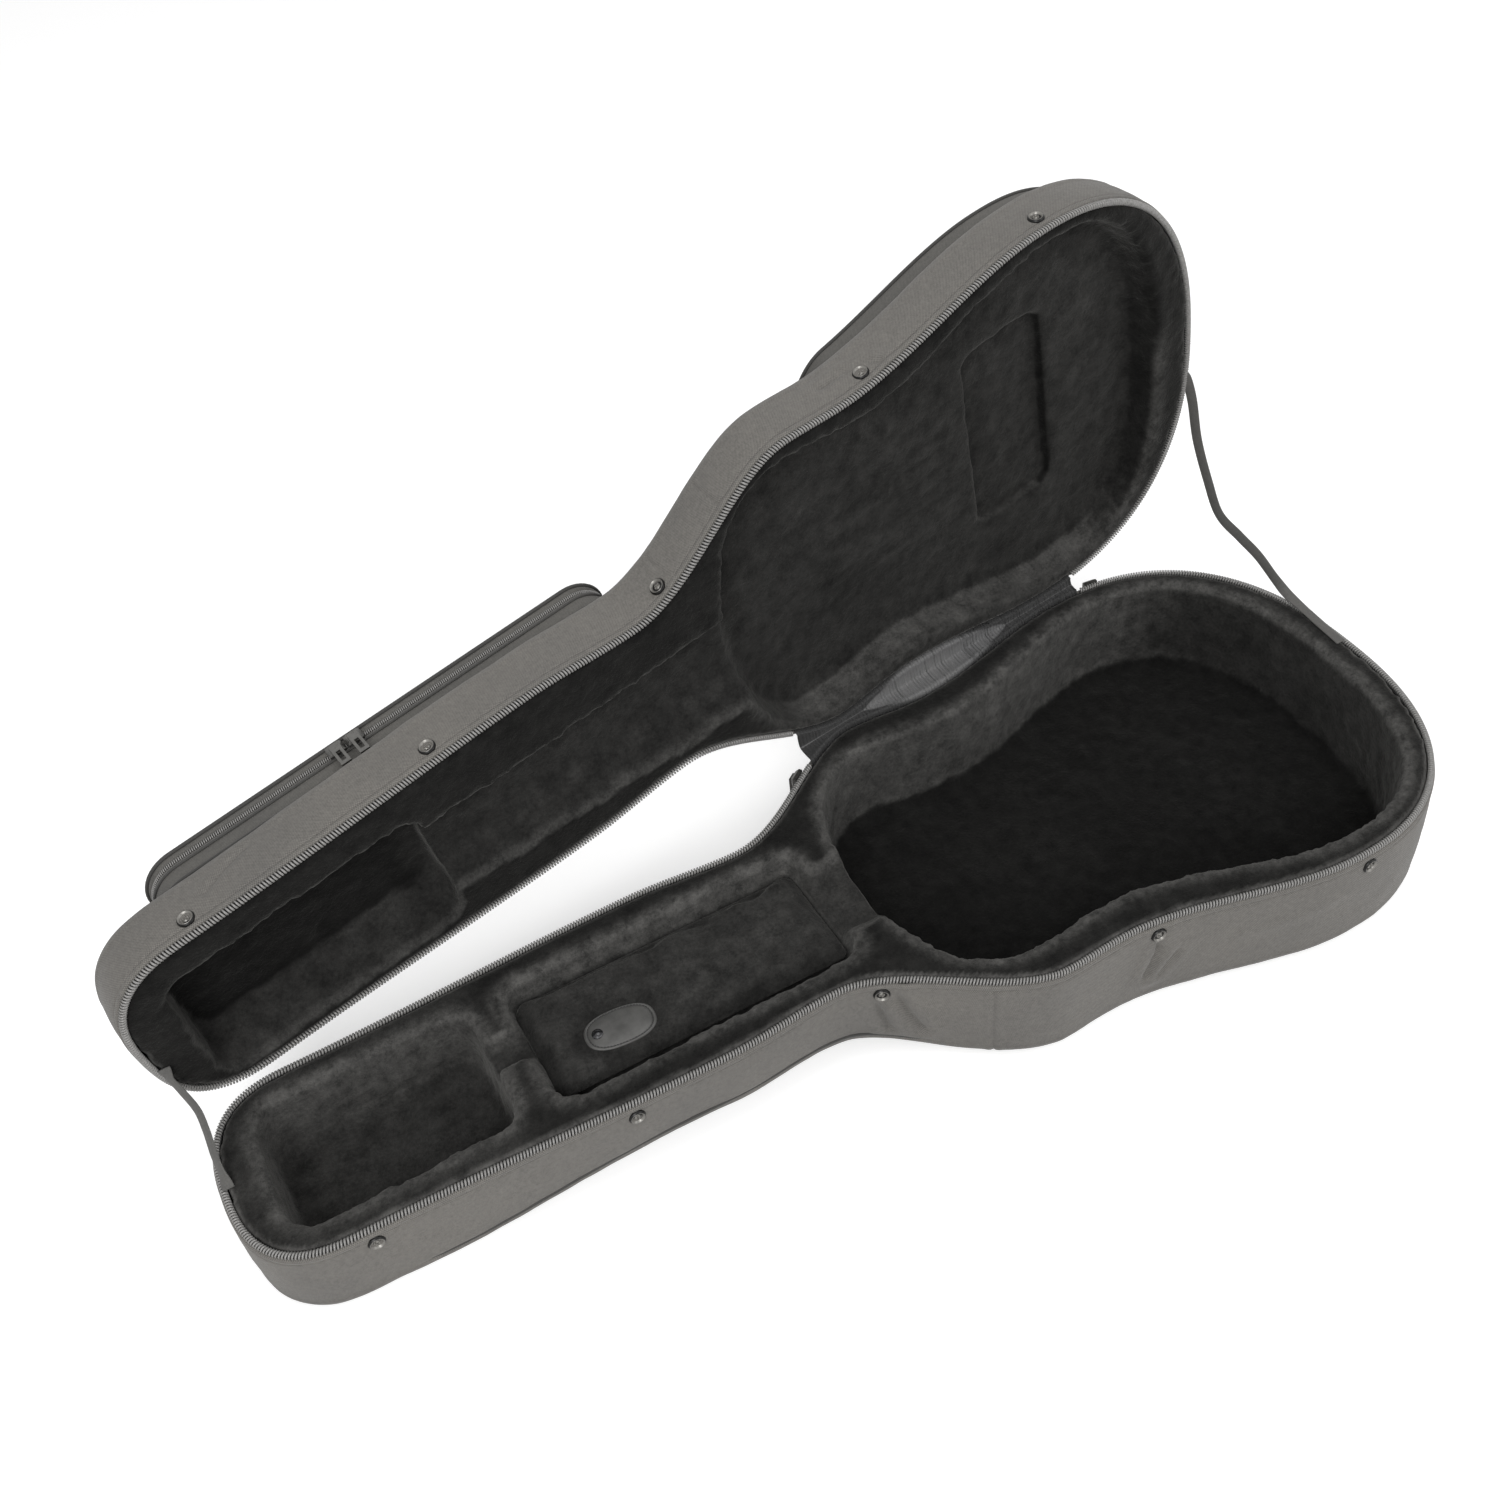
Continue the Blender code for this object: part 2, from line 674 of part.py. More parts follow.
def hinge_cloth(half):
    """The half of the cloth hinge on this rim: it stands on the side band and reaches to the hinge line."""
    start, end = ZIP_END_TAIL_X - CLOTH_END_GAP, ZIP_END_HEAD_X + CLOTH_END_GAP
    outer = ring_run(TAPE_INSET, start, end)
    inner = ring_run(TAPE_INSET + TAPE_THICKNESS, start, end)
    high = CLEAR / 2
    low = high + TAPE_THICKNESS
    s = half.sign
    sections = []
    for a, b in zip(outer, inner):
        edge = hinge_y(a.x) - CLEAR / 2
        sections.append([(a.x, a.y, s * TAPE_BOTTOM), (a.x, a.y, s * low), (a.x, edge, s * low),
                         (a.x, edge, s * high), (b.x, b.y, s * high), (b.x, b.y, s * TAPE_BOTTOM)])
    return half.add("hinge_cloth", loft(sections), nylon)


def disc(data, middle, normal, radius, height, sides=12, rise=0.6):
    """A low domed disc that stands on a wall, seated at middle and facing along normal."""
    turn = Vector(normal).to_track_quat("Z", "Y").to_matrix()
    rings = []
    for share, up in ((1.0, 0.0), (1.0, height * 0.4), (rise, height)):
        ring = []
        for k in range(sides):
            angle = 2 * math.pi * k / sides
            local = Vector((radius * share * math.cos(angle), radius * share * math.sin(angle), up))
            ring.append(data.verts.new(Vector(middle) + turn @ local))
        rings.append(ring)
    for low, high in zip(rings, rings[1:]):
        for i in range(sides):
            j = (i + 1) % sides
            data.faces.new((low[i], low[j], high[j], high[i]))
    data.faces.new(list(reversed(rings[0])))
    data.faces.new(rings[-1])


def wall_point(x, side, reach=0.0):
    """Seat on the side wall at x, clear of the wall's bend within reach, and the wall's outward normal."""
    for i, here in enumerate(RING):
        after = RING[(i + 1) % len(RING)]
        if min(here.y * side, after.y * side) >= 0 and min(here.x, after.x) <= x < max(here.x, after.x):
            along = (after - here).normalized()
            out = Vector((along.y, -along.x))
            seat = here.lerp(after, (x - here.x) / (after.x - here.x))
            bend = [(p - seat).dot(out) for p in resample(RING, 20 * RING_POINTS)
                    if abs((p - seat).dot(along)) < reach and (p - seat).length < 2 * reach]
            return seat + out * (CLEAR + max(bend + [0.0])), out
    raise ValueError(f"no wall at x = {x}")


def washers(half):
    """Finishing washers with their screws, in a row along the zip side."""
    height = half.sign * WASHER_DROP
    for number, x in enumerate(WASHER_X, start=1):
        place, out = wall_point(x, -1, WASHER_RADIUS + CLEAR)

        def make(data):
            disc(data, (place.x, place.y, height), (out.x, out.y, 0), WASHER_RADIUS, WASHER_HEIGHT)
        half.add(f"washer_{number}", make, metal)


def notched_block(name, x0, length, half, top, bottom, notch_half, notch_depth, finish):
    """A block across the neck well with a round-bottomed notch for the neck."""
    across = []
    for k in range(9):
        angle = math.pi * k / 8
        across.append((-notch_half * math.cos(angle), top - notch_depth * math.sin(angle) ** 0.6))
    section = [(-half, bottom), (-half, top)] + across + [(half, top), (half, bottom)]
    rings = [[(x, y, z) for y, z in section] for x in (x0, x0 + length)]
    return object_from(name, loft(rings), finish, BASE)


def neck_supports():
    """The padded rest behind the headstock and the cradle under the neck's heel."""
    half = NECK_WELL_HALF - WELL_FLOOR_ROUND
    floor = -NECK_WELL_DEPTH + CLEAR
    notched_block("neck_rest_block", HEAD_WELL_X1 + 2 * CLEAR, NECK_REST_LENGTH, half, -NECK_REST_TOP, floor,
                  SADDLE_HALF, SADDLE_DEPTH, plush)
    notched_block("heel_cradle", HEEL_CRADLE_X, HEEL_CRADLE_LENGTH, half, -NECK_REST_TOP, floor,
                  HEEL_NOTCH_HALF, HEEL_NOTCH_DEPTH, plush)


BOX_LID_X0 = HEAD_WELL_X1 + NECK_REST_LENGTH + BOX_LID_END_GAP
BOX_LID_X1 = HEEL_CRADLE_X - BOX_LID_END_GAP
BOX_LID_HALF = NECK_WELL_HALF - WELL_FLOOR_ROUND - BOX_LID_SIDE_GAP
BOX_LID_Z = -NECK_WELL_DEPTH + CLEAR
BOX_HINGE = Vector((BOX_LID_X1, 0, BOX_LID_Z + BOX_LID_THICKNESS))
TAB_Z = BOX_LID_Z + BOX_LID_THICKNESS + CLEAR
TAB_AXIS = Vector((math.cos(TAB_TURN), math.sin(TAB_TURN), 0))
TAB_ROOT = Vector((TAB_X, TAB_Y, TAB_Z)) + TAB_AXIS * TAB_LENGTH / 2


def compartment():
    """The plush-covered lid of the accessory compartment, its pull tab and the tab's snap."""
    points = rounded_box(BOX_LID_X0, BOX_LID_X1, BOX_LID_HALF, WELL_FLOOR_ROUND)
    top = BOX_LID_Z + BOX_LID_THICKNESS
    rings = [ring_at(points, 0, BOX_LID_Z), ring_at(points, 0, top - 0.003), ring_at(points, 0.003, top)]
    panel = object_from("compartment_lid", loft(rings), plush, BASE, BOX_HINGE)
    oval = []
    for k in range(20):
        angle = 2 * math.pi * k / 20
        local = Vector((TAB_LENGTH / 2 * math.cos(angle), TAB_WIDTH / 2 * math.sin(angle), 0))
        local.rotate(Matrix.Rotation(TAB_TURN, 3, "Z"))
        oval.append(Vector((TAB_X + local.x, TAB_Y + local.y)))
    rings = [ring_at(oval, 0, TAB_Z), ring_at(oval, 0, TAB_Z + TAB_THICKNESS * 0.6),
             ring_at(oval, 0.0012, TAB_Z + TAB_THICKNESS)]
    tab = object_from("pull_tab", loft(rings), leather, BASE, TAB_ROOT)
    end = Vector((TAB_X, TAB_Y, TAB_Z + TAB_THICKNESS + CLEAR)) - TAB_AXIS * (TAB_LENGTH / 2 - SNAP_FROM_END)

    def make(data):
        disc(data, end, (0, 0, 1), SNAP_RADIUS, SNAP_HEIGHT)
    snap = object_from("tab_snap", make, metal, BASE, TAB_ROOT)
    return panel, tab, snap


def neck_pocket():
    """The gusseted pocket over the lid's neck: lower gusset, zip chain, and a dished front panel."""
    points = rounded_box(NECK_POCKET_X0, NECK_POCKET_X1, NECK_POCKET_HALF, NECK_POCKET_CORNER)
    base_z = LID_DEPTH + CLEAR
    top_z = LID_DEPTH + NECK_POCKET_HEIGHT
    zip_low = top_z - NECK_POCKET_ZIP_FROM_TOP
    zip_high = zip_low + NECK_POCKET_CHAIN
    wall = NECK_POCKET_WALL
    gusset = [ring_at(points, 0, base_z), ring_at(points, 0, zip_low - CLEAR),
              ring_at(points, wall, zip_low - CLEAR), ring_at(points, wall, base_z)]
    LID_HALF.add("neck_pocket_gusset", loft(gusset, closed_section=True), nylon)
    chain = [ring_at(points, 0.0004, zip_low), ring_at(points, 0.0004, zip_high),
             ring_at(points, wall, zip_high), ring_at(points, wall, zip_low)]
    LID_HALF.add("neck_pocket_zip", loft(chain, closed_section=True), coil)
    front = [ring_at(points, 0, zip_high + CLEAR), ring_at(points, 0, top_z - 0.005),
             ring_at(points, 0.004, top_z - 0.001), ring_at(points, 0.012, top_z)]
    LID_HALF.add("neck_pocket_panel", loft(front), nylon)
    return zip_low + NECK_POCKET_CHAIN / 2


def body_pocket():
    """The flat pocket over the lid's lower bout: a soft wall and the panel sewn to it."""
    end = LENGTH - BODY_POCKET_INSET

    def half_width(x):
        if x > LOWER_X:
            return (LOWER_HALF - BODY_POCKET_INSET) * super_arc((x - LOWER_X) / (end - LOWER_X), TAIL_POWER)
        start = super_arc((BODY_POCKET_X0 + BODY_POCKET_RUN - x) / BODY_POCKET_RUN, BODY_POCKET_POWER)
        return start * (case_half_width(x) - BODY_POCKET_INSET)
    loop = fine_loop(half_width, BODY_POCKET_X0, end, 300)
    points = resample(loop, WELL_POINTS)
    base_z = LID_DEPTH + CLEAR
    top_z = LID_DEPTH + BODY_POCKET_HEIGHT
    rings = [ring_at(points, 0, base_z), ring_at(points, 0, top_z - 0.010),
             ring_at(points, 0.004, top_z - 0.003), ring_at(points, 0.012, top_z)]
    LID_HALF.add("body_pocket", loft(rings), nylon)


def slider(name, frame, about, place, along, out):
    """A zip slider's body on a wall: its length runs along, and it stands out from the wall."""
    up = along.cross(out).normalized()

    def make(data):
        loops = []
        for share, stand in ((1.0, 0.0), (1.0, 0.55), (0.7, 1.0)):
            loop = []
            for a, b in ((-1, -1), (1, -1), (1, 1), (-1, 1)):
                p = place + along * (a * share * SLIDER_LENGTH / 2) + up * (b * share * SLIDER_WIDTH / 2)
                loop.append(data.verts.new(p + out * (stand * SLIDER_HEIGHT)))
            loops.append(loop)
        for low, high in zip(loops, loops[1:]):
            for i in range(4):
                j = (i + 1) % 4
                data.faces.new((low[i], low[j], high[j], high[i]))
        data.faces.new(list(reversed(loops[0])))
        data.faces.new(loops[-1])
    return object_from(name, make, metal, frame, about)


def pull(name, frame, slider_top, length, down, out, width_axis):
    """A pull plate that swings about its eye on a slider, with the long hole that such pulls have."""
    root = slider_top + out * (math.hypot(PULL_EYE, PULL_THICKNESS / 2) + CLEAR)

    def make(data):
        def ring(half_width, reach0, reach1, lift):
            corners = []
            for a, reach in ((-1, reach0), (1, reach0), (1, reach1), (-1, reach1)):
                side = width_axis * (a * half_width)
                corners.append(data.verts.new(root + side + down * reach + out * lift))
            return corners
        half = PULL_WIDTH / 2
        slot = (half * 0.45, length * 0.35, length * 0.85)
        low, high = -PULL_THICKNESS / 2, PULL_THICKNESS / 2
        loops = [ring(half, -PULL_EYE, length, low), ring(half, -PULL_EYE, length, high),
                 ring(*slot, high), ring(*slot, low)]
        for r in range(4):
            near, far = loops[r], loops[(r + 1) % 4]
            for i in range(4):
                j = (i + 1) % 4
                data.faces.new((near[i], near[j], far[j], far[i]))
    return object_from(name, make, metal, frame, root)


def lid_point(vector):
    """Where a point of the closed lid stands in the base's frame once the lid is open."""
    swing = Matrix.Rotation(-OPEN_ANGLE, 4, HINGE_AXIS)
    return HINGE_POINT + swing @ (Vector(vector) - HINGE_POINT)


def pocket_sliders(zip_z):
    """Two sliders on the zip side of the neck pocket, each with its pull plate turned to the rim."""
    out = Vector((0, -1, 0))
    along = Vector((1, 0, 0))
    for name, x in (("a", POCKET_SLIDER_X), ("b", POCKET_SLIDER_X - POCKET_SLIDER_STEP)):
        place = Vector((x, -NECK_POCKET_HALF - CLEAR, zip_z))
        slider(f"pocket_slider_{name}", LID, HINGE_POINT, place, along, out)
        top = place + out * SLIDER_HEIGHT
        pull(f"pocket_pull_{name}", LID, top, POCKET_PULL_LENGTH, Vector((0, 0, -1)), out, along)


def main_sliders():
    """The two sliders of the main zip, parked at its ends beside the cloth hinge, with their pulls."""
    for name, x, way in (("head", ZIP_END_HEAD_X, -1), ("tail", ZIP_END_TAIL_X, 1)):
        middle, out = wall_point(x + way * SLIDER_LENGTH, 1, SLIDER_LENGTH / 2 + CLEAR)
        outward = Vector((out.x, out.y, 0))
        along = Vector((-out.y, out.x, 0))
        level = -(SPLIT_GAP + SLIDER_WIDTH / 2)
        place = Vector((middle.x, middle.y, level))
        slider(f"main_slider_{name}", BASE, (0, 0, 0), place, along, outward)
        top = place + outward * SLIDER_HEIGHT
        pull(f"main_pull_{name}", BASE, top, MAIN_PULL_LENGTH, Vector((0, 0, -1)), outward, along)


def stay(name, x, y):
    """A webbing stay between the two rims at one end of the case, slack by a little."""
    across = Vector((1 if x > LENGTH / 2 else -1, 0, 0))
    from_base, from_lid = Vector((0, 0, 1)), lid_point((0, 0, 0)) - lid_point((0, 0, 1))
    straight = (lid_point((x, y, SPLIT_GAP)) - Vector((x, y, -SPLIT_GAP))).normalized()
    flat = across.cross(straight).normalized() * (STAY_THICKNESS / 2)
    edge = across * (STAY_WIDTH / 2)

    def seat(rim_point, normal):
        """The centre of a square end that clears the rim by the usual gap."""
        return rim_point + normal * (CLEAR + abs(flat.dot(normal)) + abs(edge.dot(normal)))
    start = seat(Vector((x, y, -SPLIT_GAP)), from_base)
    end = seat(lid_point((x, y, SPLIT_GAP)), from_lid)
    sections = []
    for k in range(STAY_STEPS + 1):
        t = k / STAY_STEPS
        p = start.lerp(end, t) + Vector((0, 0, -4 * t * (1 - t) * STAY_SAG))
        sections.append([p - edge - flat, p + edge - flat, p + edge + flat, p - edge + flat])
    return object_from(name, loft(sections), webbing, BASE)


def handle():
    """The carry handle on the hinge side: two sewn anchors and a loop with a thicker grip."""
    x0, x1 = HANDLE_X - HANDLE_SPAN / 2, HANDLE_X + HANDLE_SPAN / 2
    ends = []
    for name, x in (("head", x0), ("tail", x1)):
        place, out = wall_point(x, 1, ANCHOR_LENGTH / 2 + CLEAR)
        along = Vector((-out.y, out.x, 0))
        outward = Vector((out.x, out.y, 0))
        rings = []
        for share, stand in ((1.0, 0.0), (1.0, 0.6), (0.8, 1.0)):
            ring = []
            for a, b in ((-1, -1), (1, -1), (1, 1), (-1, 1)):
                p = Vector((place.x, place.y, b * share * ANCHOR_HEIGHT / 2 - HANDLE_BELOW_RIM))
                ring.append(p + along * (a * share * ANCHOR_LENGTH / 2) + outward * stand * ANCHOR_THICKNESS)
            rings.append(ring)
        object_from(f"handle_anchor_{name}", loft(rings), rubber, BASE)
        stand = ANCHOR_THICKNESS + CLEAR + HANDLE_LOOP_RADIUS
        ends.append(Vector((place.x, place.y, -HANDLE_BELOW_RIM)) + outward * stand)
    along = (ends[1] - ends[0]).normalized()
    out = Vector((-along.y, along.x, 0))
    stations = ((0.0, 0.0), (0.03, 0.30), (0.10, 0.72), (0.22, 0.96), (0.36, 1.0),
                (0.64, 1.0), (0.78, 0.96), (0.90, 0.72), (0.97, 0.30), (1.0, 0.0))
    path = []
    for share, drop in stations:
        p = ends[0].lerp(ends[1], share)
        radius = HANDLE_GRIP_RADIUS if drop > 0.95 else HANDLE_LOOP_RADIUS
        path.append((p + Vector((0, 0, -drop * HANDLE_DROP)) + out * (HANDLE_STANDOFF * 0.35 * drop), radius))
    sections = []
    for k, (p, radius) in enumerate(path):
        ahead = path[min(k + 1, len(path) - 1)][0] - path[max(k - 1, 0)][0]
        side = ahead.cross(out).normalized()
        top = side.cross(ahead).normalized()
        ring = []
        for j in range(8):
            angle = 2 * math.pi * j / 8
            ring.append(p + side * (radius * math.cos(angle)) + top * (radius * math.sin(angle)))
        sections.append(ring)
    return object_from("carry_handle", loft(sections), rubber, BASE, ends[0].lerp(ends[1], 0.5))


def build():
    """Makes both halves, then everything that they carry."""
    for half in (BASE_HALF, LID_HALF):
        side_band(half)
        piping(half)
        outer_panel(half)
        zips(half)
        shell_and_lining(half)
        hinge_cloth(half)
        washers(half)
    neck_supports()
    compartment()
    pocket_sliders(neck_pocket())
    body_pocket()
    main_sliders()
    stay("lid_stay_tail", LENGTH - STAY_SINK, STAY_TAIL_Y)
    stay("lid_stay_head", STAY_SINK, STAY_HEAD_Y)
    handle()


build()
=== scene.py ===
"""Looks of the guitar gig bag: nylon, plush, zips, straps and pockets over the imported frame."""
import math

import bmesh
import bpy
import numpy as np
from mathutils import Matrix, Vector, noise


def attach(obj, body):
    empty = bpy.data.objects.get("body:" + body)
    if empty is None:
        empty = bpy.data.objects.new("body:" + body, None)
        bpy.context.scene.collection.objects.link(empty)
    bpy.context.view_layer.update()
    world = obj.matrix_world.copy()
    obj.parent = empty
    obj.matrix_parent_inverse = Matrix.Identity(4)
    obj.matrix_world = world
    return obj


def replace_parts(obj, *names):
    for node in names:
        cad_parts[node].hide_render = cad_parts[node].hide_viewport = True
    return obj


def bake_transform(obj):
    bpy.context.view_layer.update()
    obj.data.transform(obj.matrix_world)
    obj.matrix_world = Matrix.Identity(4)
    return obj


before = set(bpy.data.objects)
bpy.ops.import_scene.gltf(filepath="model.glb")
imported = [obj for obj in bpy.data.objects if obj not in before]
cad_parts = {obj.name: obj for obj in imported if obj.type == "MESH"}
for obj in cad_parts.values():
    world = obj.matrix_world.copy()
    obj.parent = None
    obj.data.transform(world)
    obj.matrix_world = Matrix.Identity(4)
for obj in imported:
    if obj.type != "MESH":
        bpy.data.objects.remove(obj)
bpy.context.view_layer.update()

# Sizes, in metres, in the drawing plane where the two rims meet (x from headstock end to tail)
LENGTH = 1.080
HEAD_RUN, HEAD_HALF = 0.078, 0.0867
NECK_X, NECK_HALF = 0.380, 0.0947
THROAT_X, THROAT_HALF = 0.4796, 0.088
UPPER_X, UPPER_HALF = 0.6446, 0.1667
WAIST_X, WAIST_HALF = 0.7033, 0.1638
LOWER_X, LOWER_HALF = 0.9071, 0.2008
DEPTH_HEAD, DEPTH_TAIL, LID_DEPTH = 0.080, 0.112, 0.056
NECK_LIFT, LIFT_START, LIFT_FULL, LIFT_EASE, LIFT_END = 0.024, 0.132, 0.330, 0.445, 0.575
SPLIT, EDGE_HEIGHT, EDGE_ROUND = 0.0006, 0.0125, 0.012
HEAD_FLOOR, BODY_FLOOR_FOAM = 0.060, 0.016
HINGE_SLOPE, HINGE_MARGIN, OPEN_ANGLE = 0.1389, 0.002, math.radians(88.9)
ZIP_HEAD_X, ZIP_TAIL_X = 0.585, 0.922
WASHER_X, WASHER_DROP, WASHER_PROUD = (0.088, 0.296, 0.513, 0.732, 0.918), 0.0158, 0.0012
CALM_RADIUS = 0.013  # no crease within this of a washer
ZIP_PITCH, STRAP_WIDTH, STRAP_THICK = 0.0026, 0.0092, 0.0012
# Wells with square ends: x of both ends, half width, corner. Body wells: three half widths, x of the tail end
HEAD_WELL, COMPARTMENT_WELL = (0.041, 0.217, 0.055, 0.018), (0.252, 0.516, 0.057, 0.012)
BASE_BODY, LID_BODY = (0.127, 0.121, 0.170, 1.045), (0.144, 0.135, 0.180, 1.034)


def ease(t):
    t = np.clip(t, 0, 1)
    return t * t * (3 - 2 * t)


def arc(t, power):
    """Height of a rounded end, from 1 at t = 0 to 0 at t = 1."""
    return np.maximum(0, 1 - np.clip(t, 0, 1) ** power) ** (1 / power)


def within(x, low, high, soft):
    """1 between low and high, and 0 outside, with a run of soft at both ends."""
    return ease((x - low) / soft) * ease((high - x) / soft)


def steps(x, *places):
    """A smooth run through (x, value) places."""
    out = np.full(np.shape(x), float(places[0][1]))
    for (x0, y0), (x1, y1) in zip(places, places[1:]):
        out = np.where(x >= x0, y0 + (y1 - y0) * ease((x - x0) / (x1 - x0)), out)
    return out


def case_half(x):
    x = np.asarray(x, float)
    middle = steps(x, (HEAD_RUN, HEAD_HALF), (NECK_X, NECK_HALF), (THROAT_X, THROAT_HALF),
                   (UPPER_X, UPPER_HALF), (WAIST_X, WAIST_HALF), (LOWER_X, LOWER_HALF))
    ends = arc((HEAD_RUN - x) / HEAD_RUN, 2.6) * arc((x - LOWER_X) / (LENGTH - LOWER_X), 2.36)
    return middle * ends


def mirrored(xs, ys, step, count):
    """Points a like share of step apart round a mirrored outline, from its high end over +y and back."""
    run = np.concatenate([[0], np.cumsum(step)])
    goal = np.linspace(0, run[-1], count // 2 + 1)
    px, py = np.interp(goal, run, xs)[::-1], np.interp(goal, run, ys)[::-1]
    return np.column_stack([np.concatenate([px, px[-2:0:-1]]), np.concatenate([py, -py[-2:0:-1]])])


def loop(half, x0, x1, count, dense=None):
    """Points round a mirrored outline, closer together where x is in dense."""
    xs = x0 + (x1 - x0) * (1 - np.cos(np.linspace(0, math.pi, 4001))) / 2
    ys = half(xs)
    ys[0] = ys[-1] = 0
    step = np.hypot(np.diff(xs), np.diff(ys))
    if dense:
        step = step * np.where((xs[1:] > dense[0]) & (xs[1:] < dense[1]), 2.2, 1.0)
    return mirrored(xs, ys, step, count)


def box_loop(x0, x1, half, corner, count):
    """Evenly spaced points round a rectangle with round corners, from the x1 end like loop()."""
    def width(x):
        inner = np.minimum(x - x0, x1 - x)
        return half - corner + np.sqrt(np.maximum(0, corner ** 2 - np.maximum(0, corner - inner) ** 2))
    xs = np.concatenate([[x0], x0 + corner * (1 - np.cos(np.linspace(0, math.pi / 2, 200))),
                         x1 - corner * (1 - np.cos(np.linspace(math.pi / 2, 0, 200))), [x1]])
    ys = np.concatenate([[0], width(xs[1:-1]), [0]])
    return mirrored(xs, ys, np.hypot(np.diff(xs), np.diff(ys)), count)


def inward(points):
    """Inward normals of an anticlockwise loop."""
    along = np.roll(points, -1, 0) - np.roll(points, 1, 0)
    along /= np.linalg.norm(along, axis=1)[:, None]
    return np.column_stack([-along[:, 1], along[:, 0]])


def inset(points, amount):
    return points + inward(points) * np.reshape(amount, (-1, 1))


def length_along(points):
    return np.concatenate([[0], np.cumsum(np.linalg.norm(np.diff(points, axis=0), axis=1))])


def closed(points):
    return np.vstack([points, points[:1]])


def at(goal, run, table):
    """Rows of a table at the lengths in goal, where run is the length of each row."""
    return np.column_stack([np.interp(goal, run, column) for column in table.T])


def base_line(x):
    return DEPTH_HEAD + (DEPTH_TAIL - DEPTH_HEAD) * x / LENGTH


def base_depth(x):
    rise = ease((x - LIFT_START) / (LIFT_FULL - LIFT_START)) * ease((LIFT_END - x) / (LIFT_END - LIFT_EASE))
    return base_line(x) - NECK_LIFT * rise


def lid_depth(x):
    return np.full(np.shape(x), LID_DEPTH)


# Where both halves stand
TILT = math.atan((DEPTH_TAIL - DEPTH_HEAD) / LENGTH)
REST_X = (NECK_X + LOWER_X) / 2
TURN = Matrix.Rotation(-TILT, 4, "Y")
BASE = Matrix.Translation(-(TURN @ Vector((REST_X, 0, -float(base_depth(REST_X)))))) @ TURN
_xs = np.linspace(0, LENGTH, 4001)
HINGE_Y0 = float(np.max(case_half(_xs) - HINGE_SLOPE * _xs)) + HINGE_MARGIN
HINGE_POINT = Vector((THROAT_X, HINGE_Y0 + HINGE_SLOPE * THROAT_X, 0))
HINGE_AXIS = Vector((1, HINGE_SLOPE, 0)).normalized()
SWING = (Matrix.Translation(HINGE_POINT) @ Matrix.Rotation(-OPEN_ANGLE, 4, HINGE_AXIS)
         @ Matrix.Translation(-HINGE_POINT))
LID = BASE @ SWING
RING = loop(case_half, 0, LENGTH, 1060, (0.48, 0.78))


class Half:
    def __init__(self, name, sign, depth, matrix):
        self.name, self.sign, self.depth, self.matrix = name, sign, depth, matrix


HALVES = (Half("base", -1, base_depth, BASE), Half("lid", 1, lid_depth, LID))


def fractal(points, scale, seed=0.0, octaves=3):
    """Smooth noise in about -1..1 at each point."""
    out = np.empty(len(points))
    for i, p in enumerate(points):
        out[i] = noise.fractal(Vector(p) / scale + Vector((seed, seed * 1.7, -seed)), 0.9, 2.0, octaves)
    return out


# Materials
def shader(name, colour, roughness, metallic=0.0, sheen=0.0, sheen_roughness=0.4, sheen_tint=(1, 1, 1),
           specular=0.5):
    made = bpy.data.materials.new(name)
    made.use_nodes = True
    bsdf = made.node_tree.nodes["Principled BSDF"]
    for key, value in (("Base Color", (*colour, 1)), ("Roughness", roughness), ("Metallic", metallic),
                       ("Sheen Weight", sheen), ("Sheen Roughness", sheen_roughness),
                       ("Sheen Tint", (*sheen_tint, 1)), ("Specular IOR Level", specular)):
        bsdf.inputs[key].default_value = value
    made.diffuse_color = (*colour, 1)
    return made, made.node_tree, bsdf


def node(tree, kind, inputs=None, **settings):
    made = tree.nodes.new(kind)
    for key, value in settings.items():
        setattr(made, key, value)
    for key, value in (inputs or {}).items():
        if isinstance(value, bpy.types.NodeSocket):
            tree.links.new(value, made.inputs[key])
        else:
            made.inputs[key].default_value = value
    return made


def math_node(tree, operation, a, b=0.0, clamp=False):
    return node(tree, "ShaderNodeMath", {0: a, 1: b}, operation=operation, use_clamp=clamp).outputs[0]


def weighted(tree, *terms):
    """Sum of each value times its weight."""
    total = math_node(tree, "MULTIPLY", *terms[0])
    for term in terms[1:]:
        total = math_node(tree, "ADD", total, math_node(tree, "MULTIPLY", *term))
    return total


def ramp(tree, value, low, high, dark, light):
    """A colour between dark and light as value runs from low to high."""
    made = node(tree, "ShaderNodeValToRGB", {"Fac": value})
    ends = made.color_ramp.elements
    ends[0].position, ends[0].color = low, (*dark, 1)
    ends[1].position, ends[1].color = high, (*light, 1)
    return made.outputs["Color"]


def coordinates(tree):
    return node(tree, "ShaderNodeTexCoord").outputs["Object"]


def speckle(tree, place, scale, detail, rough):
    return node(tree, "ShaderNodeTexNoise", {"Vector": place, "Scale": scale, "Detail": detail,
                                             "Roughness": rough}).outputs["Fac"]


def relief(tree, bsdf, height, strength, distance):
    bump = node(tree, "ShaderNodeBump", {"Height": height, "Strength": strength, "Distance": distance})
    tree.links.new(bump.outputs["Normal"], bsdf.inputs["Normal"])


def darker_lighter(colour, share):
    return [tuple(c * (1 + change) for c in colour) for change in (-share, share)]


